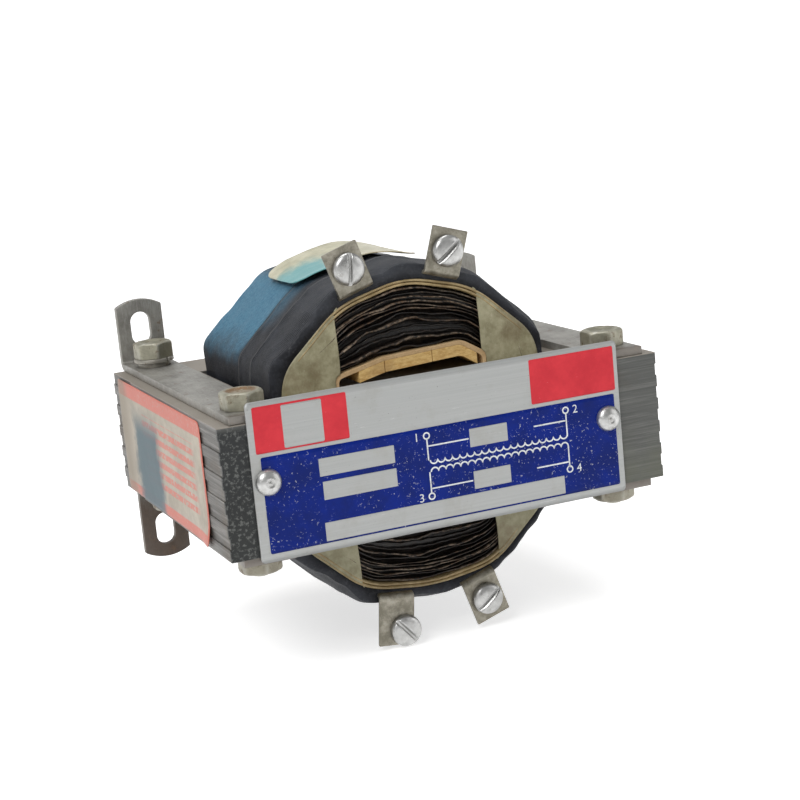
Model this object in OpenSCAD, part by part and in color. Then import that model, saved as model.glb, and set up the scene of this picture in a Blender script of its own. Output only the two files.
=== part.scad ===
// Open dry-type control transformer: interleaved E-I core, taped coil, strip brackets for a panel.
// X runs to the right along the nameplate, Y to the rear and Z up.
// The origin is the middle of the upper left mounting slot, on the plane where the tabs meet the panel.

/* [Core] */
// Width of a lamination, from side to side
core_w = 114.3; // [105:0.1:140]
// Depth of a lamination, from front to rear
core_d = 95.25; // [88:0.05:116]
// Height of the stack of laminations
stack_h = 31.75; // [24:0.05:40]
// Width of the centre leg
leg_w = 38.1; // [30:0.1:40]
// Width of the outer legs and of the yokes
yoke_w = 19.05; // [17:0.05:21]
// Number of interleaved packs in the stack, an odd number
packs = 11; // [7:2:15]
// How far each end of an I bar lies inside the E packs
bar_inset = 0.3; // [0:0.05:0.6]

/* [Brackets] */
// Width of the bracket strip
strip_w = 12.7; // [11:0.1:16]
// Thickness of the bracket strip
strip_t = 2; // [1.5:0.1:2.5]
// Distance from the core's front face to the strip's front end
strip_setback = 0.8; // [0.2:0.1:3]
// Gap between the core's rear face and a mounting tab
tab_gap = 0.5; // [0.2:0.1:1]
// Inner radius of the bend
bend_r = 0.8; // [0.6:0.1:1.4]
// Height of the upper tabs above the strip
tab_rise_top = 17; // [16:0.5:24]
// Height of the lower tabs below the strip
tab_rise_bottom = 20; // [16:0.5:26]
// Radius of a tab's rounded end
tab_end_r = 12; // [10:0.5:20]
// Width of the mounting slot
slot_w = 5.4; // [4.5:0.1:6]
// Length of the mounting slot
slot_l = 9; // [7:0.1:10.5]
// Metal left between the slot and the end of the tab
slot_edge = 3.5; // [3:0.1:5]

/* [Clamp bolts] */
// Diameter of the clamp bolts
bolt_d = 4.8; // [4:0.1:5.5]
// Room around a bolt in its holes
bolt_clear = 0.25; // [0.1:0.05:0.4]
// Distance from a bolt to the nearest two sides of the core
bolt_edge = 9.525; // [9:0.025:10.5]
// Width of a hexagon across its flats
hex_af = 9.5; // [8.5:0.1:10.5]
// Height of a bolt's head
head_h = 4.3; // [3:0.1:5]
// Depth of the dish in the top of a head
dish_h = 0.5; // [0.2:0.1:0.8]
// Height of a nut
nut_h = 3.8; // [3:0.1:5]
// Room between a nut's thread and its bolt
thread_clear = 0.05; // [0.02:0.01:0.1]
// Length of bolt left below its nut
bolt_end = 0.9; // [0.4:0.1:3]
// Thickness of the flat washers at the rear
washer_t = 1.2; // [0.8:0.1:1.4]
// Diameter of the flat washers
washer_d = 8.8; // [8:0.1:11]
// Thickness of the lock washers
lock_t = 1.1; // [0.9:0.1:1.6]
// Diameter of the lock washers
lock_d = 10.6; // [9.6:0.1:11.4]
// Width of the split in a lock washer
lock_split = 0.8; // [0.4:0.1:1.2]

/* [Coil] */
// Height of the coil's crown above the middle of the core
coil_top = 47; // [44:0.5:54]
// Depth of the coil's crown below the middle of the core
coil_bottom = 43.5; // [42:0.5:50]
// Gap between the coil and the outer legs
coil_side_gap = 0.3; // [0.2:0.05:1]
// Gap between each end of the coil and its yoke
coil_end_gap = 0.3; // [0.2:0.05:1]
// Width of the slanted corners of the coil
corner_cut = 18.5; // [14:0.5:19]
// Height of the slanted corners of the coil
corner_drop = 17; // [12:0.5:19]
// Fall of the crown from its middle to the upper slanted corners
crown_top = 4.5; // [2:0.5:5]
// Rise of the underside from its middle to the lower slanted corners
crown_bottom = 2.5; // [1:0.5:4]
// Depth of the black tape bands
tape_t = 3.2; // [2.6:0.1:4]
// Extra depth of the tape at the top and bottom, over the feet of the lugs
tape_pad = 1.8; // [1:0.1:2.4]
// How far each tape band stands above the one behind it
tape_lap = 0.3; // [0.2:0.1:0.6]
// Length of the front tape band
band_front_l = 14.8; // [12:0.1:20]
// Length of the middle tape band
band_middle_l = 10.3; // [8:0.1:16]
// Depth of the kraft wrap under the tape
kraft_t = 1.6; // [1:0.1:2]
// Depth of the outer winding with its insulation
outer_t = 5; // [4:0.1:6]
// Thickness of the end papers
paper_t = 0.6; // [0.3:0.1:1]
// Width of the bare stretch of layers between the end papers
bare_w = 38; // [30:0.5:42]

/* [Coil former] */
// Gap between the centre leg and the former
former_gap = 0.3; // [0.2:0.05:0.6]
// Wall of the former
former_t = 1; // [0.8:0.1:1.6]
// Room between the centre leg and the former's corners
corner_room = 2.5; // [2.2:0.1:4]
// Height of the former's arch above the centre leg
arch = 6.3; // [5:0.1:7]
// Thickness of the wedge blocks under the arch
block_t = 2.8; // [1.5:0.1:2.8]
// Width of the left block
block_left_w = 6.8; // [5:0.1:8]
// Width of the middle block
block_middle_w = 12.6; // [10:0.1:13]
// Width of the right block
block_right_w = 12; // [8:0.1:12]
// Gap between two neighbouring blocks
block_gap = 0.2; // [0.1:0.05:0.5]
// Shift of the row of blocks to the right of the middle
block_shift = 1.9; // [0:0.1:1.9]

/* [Terminals] */
// Width of a terminal lug
lug_w = 9.4; // [8.6:0.1:11]
// Height of a terminal lug
lug_h = 12.2; // [11:0.1:14]
// Thickness of a terminal lug
lug_t = 1; // [0.8:0.1:1.4]
// Inner radius of a lug's bend
lug_bend = 0.6; // [0.4:0.1:1]
// Length of a lug's foot, between the kraft wrap and the tape
lug_foot = 8; // [5:0.5:12]
// Distance from a lug's foot to its screw
lug_screw = 6.6; // [6:0.1:7.5]
// Diameter of a terminal screw's head
term_head_d = 8; // [7:0.1:8.4]
// Height of a terminal screw's head
term_head_h = 2.4; // [1.8:0.1:3]
// Diameter of a terminal screw
term_d = 4; // [3.4:0.1:4.4]
// Length of a terminal screw behind its lug
term_end = 0.4; // [0.2:0.1:0.5]
// Width of the slot in a terminal screw
driver_w = 1.1; // [0.8:0.1:1.4]

/* [Plates and labels] */
// Width of the nameplate
plate_w = 96; // [90:0.5:100]
// Height of the nameplate
plate_h = 38; // [36:0.5:42]
// Thickness of the nameplate
plate_t = 0.9; // [0.6:0.1:1.5]
// Shift of the nameplate to the left of the middle
plate_shift = 2.2; // [0:0.1:4]
// Rise of the nameplate's middle above the middle of the core
plate_rise = 1.7; // [0:0.1:2.5]
// Distance from a drive screw to the end of the nameplate
drive_inset = 3.6; // [3.4:0.1:5]
// Diameter of a drive screw's dome
drive_head_d = 6.4; // [5.4:0.1:6.8]
// Height of a drive screw's dome
drive_head_h = 2; // [1.5:0.1:2.5]
// Diameter of a drive screw's shank
drive_d = 3; // [2.4:0.1:3.4]
// Depth of the drive screws in the core
drive_l = 6; // [4:0.5:9]
// Thickness of the paper labels
label_t = 0.3; // [0.2:0.05:0.4]
// Length of the side label
side_label_l = 76; // [60:0.5:80]
// Distance from the core's rear face to the side label
side_label_back = 5; // [2:0.5:8]
// Metal left bare above and below the side label
side_label_edge = 0.6; // [0.3:0.1:2]
// Width of the coil's top label, from front to rear
top_label_w = 25; // [14:0.5:27]
// Distance from the middle of the coil to the label's rear edge
top_label_rear = 19; // [12:0.5:24]
// Distance from the middle of the coil to the label's right end
label_right = 12; // [6:0.5:17]

/* [Hidden] */
$fn = 48;
slack = 1;
corner_steps = 6;
corner_reach = 7;
former_reach = 1.2;
pack_h = stack_h / packs;
half_w = core_w / 2;
half_d = core_d / 2;
half_h = stack_h / 2;
window_l = core_d - 2 * yoke_w;
window_w = half_w - yoke_w - leg_w / 2;
bolt_x = half_w - bolt_edge;
bolt_y = half_d - bolt_edge;
strip_z = half_h + strip_t;
rear_plane = half_d + tab_gap + strip_t;
slot_z_top = strip_z + tab_rise_top - slot_edge - slot_l / 2;
slot_z_bottom = strip_z + tab_rise_bottom - slot_edge - slot_l / 2;
coil_hw = leg_w / 2 + window_w - coil_side_gap;
coil_l = window_l - 2 * coil_end_gap;
wound_l = coil_l - 2 * paper_t;
kraft_in = tape_t + kraft_t;
outer_in = kraft_in + outer_t;
former_hw = leg_w / 2 + former_gap + former_t;
former_hz = half_h + corner_room + former_t;
band_rear_l = coil_l - band_front_l - band_middle_l;
// Each lug: its foot's place along x, its lean, its added length, its screw's shifts across it and
// along it, and its screw slot's turn
lugs = [[-13, -18, 0, 0, 0, 18], [9.2, 17.5, 0, 0, 0, 50],
        [-10.6, 186, 1.2, -2.2, 3, 38], [11.6, 162.5, 0, 0, 0, 50]];
corners = [[-1, -1], [1, -1], [-1, 1], [1, 1]];

// Moves a piece from the middle of the core to the part's own frame
module placed() {
    translate([bolt_x, -rear_plane, -slot_z_top]) children();
}

// ---- Outlines ----

// Corner points of the coil's outline, a distance in from the outside: an octagon with low crowns.
// Inside the tape it is lower at the top and bottom by the tape's pad
function coil_corners(depth) =
    let (pad = depth < tape_t ? 0 : tape_pad,
         hw = coil_hw - depth, top = coil_top - depth - pad, low = coil_bottom - depth - pad,
         cut = corner_cut - 0.586 * depth, drop = corner_drop - 0.586 * depth,
         upper = top - crown_top, lower = crown_bottom - low)
    [[hw, lower + drop], [hw, upper - drop], [hw - cut, upper], [0, top],
     [cut - hw, upper], [-hw, upper - drop], [-hw, lower + drop],
     [cut - hw, lower], [0, -low], [hw - cut, lower]];

// Corner points of the former: a box with arched top and bottom, a distance in from its outside
function former_corners(depth) =
    let (hw = former_hw - depth, hz = former_hz - depth, peak = half_h + arch + former_t - depth,
         steep = 0.7 * hw, flat = -0.36 * hw, shoulder = peak - (peak - hz) / 4)
    [[hw, -hz], [hw, hz], [steep, peak], [flat, shoulder],
     [-hw, hz], [-hw, -hz], [flat, -shoulder], [steep, -peak]];

// Unit vector from one point to another
function toward(a, b) = (b - a) / norm(b - a);

// The outline with every corner rounded by a curve that starts and ends "reach" from it
function rounded(pts, reach) =
    let (n = len(pts))
    [for (i = [0:n - 1], s = [0:corner_steps])
        let (p = pts[i],
             a = p + toward(p, pts[(i + n - 1) % n]) * reach,
             b = p + toward(p, pts[(i + 1) % n]) * reach,
             t = s / corner_steps)
        (1 - t) * (1 - t) * a + 2 * t * (1 - t) * p + t * t * b];

module coil_outline(depth) {
    polygon(rounded(coil_corners(depth), corner_reach - 0.3 * depth));
}

module former_outline(depth) {
    polygon(rounded(former_corners(depth), former_reach));
}

// Stands an outline up in the XZ plane and gives it a length, centred on y
module along_y(length, y = 0) {
    translate([0, y + length / 2, 0]) rotate([90, 0, 0]) linear_extrude(height = length) children();
}

// ---- Core ----

module bolt_holes() {
    for (c = corners)
        translate([c.x * bolt_x, c.y * bolt_y, -stack_h])
            cylinder(h = 2 * stack_h, d = bolt_d + 2 * bolt_clear);
}

module drive_holes() {
    for (side = [-1, 1])
        translate([drive_x(side), -half_d - slack, plate_rise])
            rotate([-90, 0, 0]) cylinder(h = drive_l + slack, d = drive_d);
}

// The packs are numbered from the bottom. The yoke of an even pack's E is at the front
module core_e_laminations() {
    color("#8a8784") difference() {
        union() {
            for (side = [-1, 0, 1])
                let (w = side == 0 ? leg_w : yoke_w)
                translate([side * (half_w - yoke_w / 2) - w / 2, -window_l / 2 - slack / 2, -half_h])
                    cube([w, window_l + slack, stack_h]);
            for (i = [0:packs - 1])
                let (front = i % 2 == 0)
                translate([-half_w, front ? -half_d : window_l / 2, -half_h + i * pack_h])
                    cube([core_w, yoke_w, pack_h]);
        }
        bar_room();
        bolt_holes();
        drive_holes();
    }
}

// The room that the E packs leave for the I bars
module bar_room() {
    for (i = [0:packs - 1])
        let (front = i % 2 == 1)
        translate([-half_w - slack, front ? -half_d - slack : window_l / 2, -half_h + i * pack_h])
            cube([core_w + 2 * slack, yoke_w + slack, pack_h]);
}

module core_i_laminations() {
    color("#807d7a") difference() {
        for (i = [0:packs - 1])
            let (front = i % 2 == 1)
            translate([-half_w + bar_inset, front ? -half_d : window_l / 2, -half_h + i * pack_h])
                cube([core_w - 2 * bar_inset, yoke_w, pack_h]);
        bolt_holes();
        drive_holes();
    }
}

// ---- Brackets ----

// One bracket on the right-hand side above the core, with its tab turned up at the rear
module bracket(rise) {
    outer_r = bend_r + strip_t;
    front = -half_d + strip_setback;
    bend_y = rear_plane - outer_r;
    tab_top = strip_t + rise;
    difference() {
        union() {
            translate([-strip_w / 2, front, 0]) cube([strip_w, bend_y - front, strip_t]);
            translate([-strip_w / 2, bend_y, outer_r]) rotate([90, 0, 90])
                linear_extrude(height = strip_w) intersection() {
                    difference() {
                        circle(r = outer_r);
                        circle(r = bend_r);
                    }
                    translate([0, -outer_r]) square(outer_r);
                }
            translate([0, rear_plane, 0]) rotate([90, 0, 0])
                linear_extrude(height = strip_t) intersection() {
                    translate([-strip_w / 2, outer_r]) square([strip_w, tab_top - outer_r]);
                    translate([0, tab_top - tab_end_r]) union() {
                        circle(r = tab_end_r);
                        translate([-strip_w, -2 * tab_top]) square([2 * strip_w, 2 * tab_top]);
                    }
                }
        }
        for (y = [-bolt_y, bolt_y])
            translate([0, y, -slack]) cylinder(h = strip_t + 2 * slack, d = bolt_d + 2 * bolt_clear);
        mounting_slot(tab_top - slot_edge - slot_l / 2);
    }
}

module mounting_slot(z) {
    run = (slot_l - slot_w) / 2;
    translate([0, rear_plane + slack, z]) rotate([90, 0, 0]) {
        for (side = [-1, 1])
            translate([0, side * run, 0]) cylinder(h = strip_t + 2 * slack, d = slot_w);
        translate([-slot_w / 2, -run, 0]) cube([slot_w, 2 * run, strip_t + 2 * slack]);
    }
}

// side is -1 on the left and 1 on the right
module bracket_top(side) {
    color("#b3ada0") translate([side * bolt_x, 0, half_h]) bracket(tab_rise_top);
}

module bracket_bottom(side) {
    color("#a89f90") translate([side * bolt_x, 0, -half_h]) mirror([0, 0, 1]) bracket(tab_rise_bottom);
}

// ---- Clamp bolts ----

function seat_z(c) = strip_z + (c.y > 0 ? washer_t + lock_t : 0);

module hexagon(h) {
    rotate(30) cylinder(h = h, d = hex_af / cos(30), $fn = 6);
}

// A bolt with a dished hexagon head, down through both strips and the core
module bolt(c) {
    seat = seat_z(c);
    color("#b9b19b") translate([c.x * bolt_x, c.y * bolt_y, 0]) {
        difference() {
            translate([0, 0, seat]) hexagon(head_h);
            translate([0, 0, seat + head_h - dish_h])
                cylinder(h = dish_h + slack, d1 = hex_af * 0.55, d2 = hex_af * 0.55 + 2 * dish_h + 2 * slack);
        }
        translate([0, 0, -strip_z - nut_h - bolt_end])
            cylinder(h = seat + strip_z + nut_h + bolt_end, d = bolt_d);
    }
}

module nut(c) {
    color("#a9a290") translate([c.x * bolt_x, c.y * bolt_y, -strip_z - nut_h]) difference() {
        hexagon(nut_h);
        translate([0, 0, -slack]) cylinder(h = nut_h + 2 * slack, d = bolt_d + 2 * thread_clear);
    }
}

module flat_washer(c) {
    color("#b9b5aa") translate([c.x * bolt_x, c.y * bolt_y, strip_z]) difference() {
        cylinder(h = washer_t, d = washer_d);
        translate([0, 0, -slack]) cylinder(h = washer_t + 2 * slack, d = bolt_d + 2 * bolt_clear);
    }
}

module lock_washer(c) {
    color("#9d998f") translate([c.x * bolt_x, c.y * bolt_y, strip_z + washer_t]) difference() {
        cylinder(h = lock_t, d = lock_d);
        translate([0, 0, -slack]) cylinder(h = lock_t + 2 * slack, d = bolt_d + 2 * bolt_clear);
        rotate(-60) translate([0, -lock_split / 2, -slack]) cube([lock_d, lock_split, lock_t + 2 * slack]);
    }
}

// ---- Coil ----

module coil_former() {
    color("#c39a62") along_y(wound_l) difference() {
        former_outline(0);
        former_outline(former_t);
    }
}

// Three wood blocks side by side under the former's arch, up against it
module wedge_block(up) {
    widths = [block_left_w, block_middle_w, block_right_w];
    ends = [0, widths[0] + block_gap, widths[0] + widths[1] + 2 * block_gap];
    start = block_shift - (ends[2] + widths[2]) / 2;
    color("#d9ae55") along_y(wound_l) intersection() {
        difference() {
            former_outline(former_t);
            translate([0, -up * block_t]) former_outline(former_t);
        }
        for (i = [0:2])
            translate([start + ends[i], up > 0 ? 0 : -coil_top]) square([widths[i], coil_top]);
    }
}

module inner_winding() {
    color("#4a3b2c") along_y(wound_l) difference() {
        coil_outline(outer_in);
        former_outline(0);
    }
}

module outer_winding() {
    color("#3a2e24") along_y(wound_l) difference() {
        coil_outline(kraft_in);
        coil_outline(outer_in);
    }
}

module kraft_wrap() {
    color("#b3a574") difference() {
        along_y(wound_l) difference() {
            coil_outline(tape_t);
            coil_outline(kraft_in);
        }
        lug_feet();
    }
}

// The paper over one side of the coil's front or rear end
module end_paper(side, end) {
    span = coil_hw - bare_w / 2;
    color("#a9a077") difference() {
        along_y(paper_t, end * (coil_l - paper_t) / 2) intersection() {
            difference() {
                coil_outline(tape_t);
                former_outline(0);
            }
            translate([side * (bare_w / 2 + span / 2), 0])
                square([span, 4 * coil_top], center = true);
        }
        lug_feet();
    }
}

// A closed ring of cloth tape from one distance behind the coil's front end to another
module tape_band(start, length, depth) {
    color("#2b3036") difference() {
        along_y(length, -coil_l / 2 + start + length / 2) difference() {
            coil_outline(depth);
            coil_outline(tape_t);
        }
        lug_feet();
    }
}

// A label wrapped over the middle band's crown and on over the rear band
module coil_top_label() {
    color("#cfc7a2") along_y(top_label_w, top_label_rear - top_label_w / 2) intersection() {
        difference() {
            coil_outline(tape_lap - label_t);
            coil_outline(tape_lap);
        }
        translate([corner_cut - coil_hw, 0])
            square([coil_hw - corner_cut + label_right, coil_top + slack]);
    }
}

// ---- Terminals ----

// Height of the kraft wrap's crown at a distance from the middle, at the top or the bottom
function crown_z(x, up) =
    let (run = abs(x) / (coil_hw - corner_cut), in = tape_t + tape_pad)
    up ? coil_top - in - crown_top * run : -coil_bottom + in + crown_bottom * run;

// Stands a piece on a lug's foot, turned outwards round the coil's axis
module at_lug(i) {
    l = lugs[i];
    translate([l[0], -coil_l / 2, crown_z(l[0], i < 2)]) rotate([0, l[1], 0]) children();
}

module lug_feet() {
    for (i = [0:len(lugs) - 1])
        at_lug(i) translate([-lug_w / 2, -slack, 0]) cube([lug_w, lug_foot + slack, lug_t]);
}

// A strip bent up at the front of the coil, with its foot under the tape
module terminal_lug(i) {
    outer_r = lug_bend + lug_t;
    color("#c9c5b8") at_lug(i) difference() {
        union() {
            translate([-lug_w / 2, 0, 0]) cube([lug_w, lug_foot, lug_t]);
            translate([-lug_w / 2, 0, outer_r]) rotate([90, 0, 90])
                linear_extrude(height = lug_w) intersection() {
                    difference() {
                        circle(r = outer_r);
                        circle(r = lug_bend);
                    }
                    translate([-outer_r, -outer_r]) square(outer_r);
                }
            translate([-lug_w / 2, -outer_r, outer_r]) cube([lug_w, lug_t, lug_h + lugs[i][2] - outer_r]);
        }
        translate([lugs[i][3], slack, lug_screw + lugs[i][4]]) rotate([90, 0, 0])
            cylinder(h = outer_r + 2 * slack, d = term_d);
    }
}

module terminal_screw(i) {
    dome_r = (term_head_h * term_head_h + term_head_d * term_head_d / 4) / (2 * term_head_h);
    color("#d4d4d2") at_lug(i) translate([lugs[i][3], -lug_bend - lug_t, lug_screw + lugs[i][4]]) {
        difference() {
            intersection() {
                translate([0, dome_r - term_head_h, 0]) sphere(r = dome_r);
                rotate([90, 0, 0]) cylinder(h = term_head_h, d = term_head_d);
            }
            rotate([0, lugs[i][5] - lugs[i][1], 0])
                translate([-driver_w / 2, -term_head_h - slack, -term_head_d])
                    cube([driver_w, term_head_h / 2 + slack, 2 * term_head_d]);
        }
        rotate([-90, 0, 0]) cylinder(h = lug_t + term_end, d = term_d);
    }
}

// ---- Nameplate and labels ----

function drive_x(side) = side * (plate_w / 2 - drive_inset) - plate_shift;

module nameplate() {
    color("#c9ccce") translate([-plate_w / 2 - plate_shift, -half_d - plate_t, plate_rise - plate_h / 2])
        difference() {
            cube([plate_w, plate_t, plate_h]);
            for (x = [drive_inset, plate_w - drive_inset])
                translate([x, -slack, plate_h / 2]) rotate([-90, 0, 0])
                    cylinder(h = plate_t + 2 * slack, d = drive_d);
        }
}

module drive_screw(side) {
    dome_r = (drive_head_h * drive_head_h + drive_head_d * drive_head_d / 4) / (2 * drive_head_h);
    color("#cfd0d2") translate([drive_x(side), -half_d - plate_t, plate_rise]) {
        intersection() {
            translate([0, dome_r - drive_head_h, 0]) sphere(r = dome_r);
            rotate([90, 0, 0]) cylinder(h = drive_head_h, d = drive_head_d);
        }
        rotate([-90, 0, 0]) cylinder(h = plate_t + drive_l, d = drive_d);
    }
}

module side_label() {
    color("#e8cdb8") translate([-half_w - label_t, half_d - side_label_back - side_label_l,
                                -half_h + side_label_edge])
        cube([label_t, side_label_l, stack_h - 2 * side_label_edge]);
}

// ---- The pieces ----

placed() core_e_laminations();
placed() core_i_laminations();
placed() bracket_top(-1);  // bracket_top_left
placed() bracket_top(1);  // bracket_top_right
placed() bracket_bottom(-1);  // bracket_bottom_left
placed() bracket_bottom(1);  // bracket_bottom_right
placed() bolt([-1, -1]);  // bolt_front_left
placed() bolt([1, -1]);  // bolt_front_right
placed() bolt([-1, 1]);  // bolt_rear_left
placed() bolt([1, 1]);  // bolt_rear_right
placed() nut([-1, -1]);  // nut_front_left
placed() nut([1, -1]);  // nut_front_right
placed() nut([-1, 1]);  // nut_rear_left
placed() nut([1, 1]);  // nut_rear_right
placed() flat_washer([-1, 1]);  // flat_washer_rear_left
placed() flat_washer([1, 1]);  // flat_washer_rear_right
placed() lock_washer([-1, 1]);  // lock_washer_rear_left
placed() lock_washer([1, 1]);  // lock_washer_rear_right
placed() coil_former();
placed() wedge_block(1);  // wedge_block_top
placed() wedge_block(-1);  // wedge_block_bottom
placed() inner_winding();
placed() outer_winding();
placed() kraft_wrap();
placed() end_paper(-1, -1);  // end_paper_front_left
placed() end_paper(1, -1);  // end_paper_front_right
placed() end_paper(-1, 1);  // end_paper_rear_left
placed() end_paper(1, 1);  // end_paper_rear_right
placed() tape_band(0, band_front_l, 0);  // tape_band_front
placed() tape_band(band_front_l, band_middle_l, tape_lap);  // tape_band_middle
placed() tape_band(coil_l - band_rear_l, band_rear_l, 2 * tape_lap);  // tape_band_rear
placed() coil_top_label();
placed() nameplate();
placed() drive_screw(-1);  // drive_screw_left
placed() drive_screw(1);  // drive_screw_right
placed() side_label();
placed() terminal_lug(0);  // terminal_lug_top_left
placed() terminal_lug(1);  // terminal_lug_top_right
placed() terminal_lug(2);  // terminal_lug_bottom_left
placed() terminal_lug(3);  // terminal_lug_bottom_right
placed() terminal_screw(0);  // terminal_screw_top_left
placed() terminal_screw(1);  // terminal_screw_top_right
placed() terminal_screw(2);  // terminal_screw_bottom_left
placed() terminal_screw(3);  // terminal_screw_bottom_right
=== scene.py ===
"""Looks of an open dry-type control transformer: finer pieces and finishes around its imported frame.

Lengths are in millimetres in the pieces' formulas, measured from the middle of the core: X along the
nameplate, Y to the rear and Z up. MM turns them into metres and CENTRE moves them to their place.
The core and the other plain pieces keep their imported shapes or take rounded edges. The coil, papers,
nameplate, bolts and screws are built here as grids of points, each from the formula it describes.
"""

import math

import bmesh
import bpy
import numpy as np
from mathutils import Matrix, Vector


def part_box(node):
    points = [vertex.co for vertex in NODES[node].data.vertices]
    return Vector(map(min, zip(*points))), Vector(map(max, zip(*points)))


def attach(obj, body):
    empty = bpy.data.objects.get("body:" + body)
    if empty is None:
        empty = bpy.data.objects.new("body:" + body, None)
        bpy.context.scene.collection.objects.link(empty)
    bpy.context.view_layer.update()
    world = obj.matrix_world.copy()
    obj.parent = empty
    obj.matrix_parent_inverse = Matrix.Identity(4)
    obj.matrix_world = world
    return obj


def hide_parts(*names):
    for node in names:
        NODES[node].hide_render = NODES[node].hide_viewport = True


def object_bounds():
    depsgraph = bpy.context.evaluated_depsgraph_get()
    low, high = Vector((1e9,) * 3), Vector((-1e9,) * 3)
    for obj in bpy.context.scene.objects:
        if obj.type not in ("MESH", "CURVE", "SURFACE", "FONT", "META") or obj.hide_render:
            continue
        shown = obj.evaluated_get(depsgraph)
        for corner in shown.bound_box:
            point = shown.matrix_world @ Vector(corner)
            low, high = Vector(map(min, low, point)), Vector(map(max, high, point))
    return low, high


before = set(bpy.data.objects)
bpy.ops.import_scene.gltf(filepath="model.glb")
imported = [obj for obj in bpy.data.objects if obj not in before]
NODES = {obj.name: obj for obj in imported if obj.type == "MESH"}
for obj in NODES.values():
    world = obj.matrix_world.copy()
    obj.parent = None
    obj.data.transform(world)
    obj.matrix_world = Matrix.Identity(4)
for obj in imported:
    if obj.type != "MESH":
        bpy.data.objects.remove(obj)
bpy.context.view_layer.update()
MM = 0.001


def span(node):
    """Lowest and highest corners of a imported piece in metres, as arrays."""
    low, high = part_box(node)
    return np.array(low), np.array(high)


CORE_LOW, CORE_HIGH = span("core_e_laminations")
CENTRE = (CORE_LOW + CORE_HIGH) / 2
HALF_W, HALF_D, HALF_H = (CORE_HIGH - CORE_LOW) / 2 / MM


def local(node):
    """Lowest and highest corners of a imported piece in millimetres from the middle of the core."""
    low, high = span(node)
    return (low - CENTRE) / MM, (high - CENTRE) / MM


# ---- The coil's measures ----

BAND_NODES = ("tape_band_front", "tape_band_middle", "tape_band_rear")
BAND_LOW, BAND_HIGH = local("tape_band_front")
COIL_FRONT = BAND_LOW[1]
COIL_REAR = local("tape_band_rear")[1][1]
COIL_HALF_W = BAND_HIGH[0]
COIL_TOP = BAND_HIGH[2]
COIL_BOTTOM = BAND_LOW[2]
CORNER_W, CORNER_H = 18.5, 17.0
CORNER_LOSS = 0.586
CROWN_TOP, CROWN_BOTTOM = 4.5, 2.5
TAPE_SIDE, TAPE_PAD = 3.2, 1.8
KRAFT = 1.6
FORMER_RISE, FORMER_SHOULDER = 3.8, 0.95
FORMER_REACH = 1.6
FORMER_HIGH = local("coil_former")[1]
BARE_LEFT = local("end_paper_front_left")[1][0]
BARE_RIGHT = local("end_paper_front_right")[0][0]


# ---- Meshes ----

def ride_along(name, mesh, replaced=()):
    """Puts a mesh in the scene as a piece that rides on the one body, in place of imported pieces."""
    piece = bpy.data.objects.new(name, mesh)
    bpy.context.scene.collection.objects.link(piece)
    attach(piece, "root")
    if replaced:
        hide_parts(*replaced)
    return piece


def add_mesh(name, points, faces, material, slot, replaced=(), smooth=True):
    """A new piece from points in millimetres from the core's middle."""
    mesh = bpy.data.meshes.new(name)
    mesh.from_pydata((np.asarray(points) * MM + CENTRE).tolist(), [], np.asarray(faces).tolist())
    mesh.validate()
    mesh.update()
    if smooth:
        mesh.shade_smooth()
    mesh.materials.append(material)
    return ride_along(name, mesh, replaced)


def grid_faces(rows, columns, wrap_rows=False, wrap_columns=False):
    """Quads between neighbours of a rows x columns grid of points, closed round either way."""
    r = np.arange(rows if wrap_rows else rows - 1)
    c = np.arange(columns if wrap_columns else columns - 1)
    a, b = np.meshgrid(r, c, indexing="ij")
    a2, b2 = (a + 1) % rows, (b + 1) % columns
    quads = np.stack([a * columns + b, a * columns + b2, a2 * columns + b2, a2 * columns + b], -1)
    return quads.reshape(-1, 4)


def joined(parts):
    """Puts several (points, faces) pairs into one pair."""
    starts = np.cumsum([0] + [len(points) for points, _ in parts])
    faces = [part[1] + start for part, start in zip(parts, starts)]
    return np.concatenate([points for points, _ in parts]), np.concatenate(faces)


def standing(plan, y):
    """Points of an outline in X and Z, stood at a depth Y."""
    return np.stack([plan[..., 0], y + 0 * plan[..., 0], plan[..., 1]], -1)


def hoop(lines):
    """A closed ring round the coil: its section has one corner on each line of points."""
    grid = np.stack(lines, 1)
    return grid.reshape(-1, 3), grid_faces(*grid.shape[:2], wrap_rows=True, wrap_columns=True)


def face_outwards(mesh, apart, flat_within=None):
    """Merges points less than a distance apart, joins nearly flat faces, and turns all faces outwards."""
    work = bmesh.new()
    work.from_mesh(mesh)
    bmesh.ops.remove_doubles(work, verts=work.verts, dist=apart)
    if flat_within is not None:
        bmesh.ops.dissolve_limit(work, angle_limit=flat_within, verts=work.verts, edges=work.edges)
    bmesh.ops.recalc_face_normals(work, faces=work.faces)
    work.to_mesh(mesh)
    work.free()


def outward(piece):
    """The same piece with every face of its closed mesh pointing outwards."""
    face_outwards(piece.data, 1e-7)
    return piece


def corner_pinch(run, length, corner):
    """How far a strip's long sides draw in near its ends, so that its corners are quarter circles."""
    near = np.minimum(run, 1 - run) * length
    return corner - np.sqrt(np.maximum(corner ** 2 - (corner - np.minimum(near, corner)) ** 2, 0))


def closed_sheet(name, skin, under, material, slot, replaced):
    """Closes an upper and a lower grid of points into one sheet, with strips along all its edges."""
    rows, columns = skin.shape[:2]
    width = 2 * columns
    sheet = np.concatenate([skin, under[:, ::-1]], 1).reshape(-1, 3)
    c = np.arange(columns - 1)
    end = np.stack([c, c + 1, width - 2 - c, width - 1 - c], -1)
    faces = np.concatenate([grid_faces(rows, width, wrap_columns=True), end, end + (rows - 1) * width])
    return outward(add_mesh(name, sheet, faces, material, slot, replaced))


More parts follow.
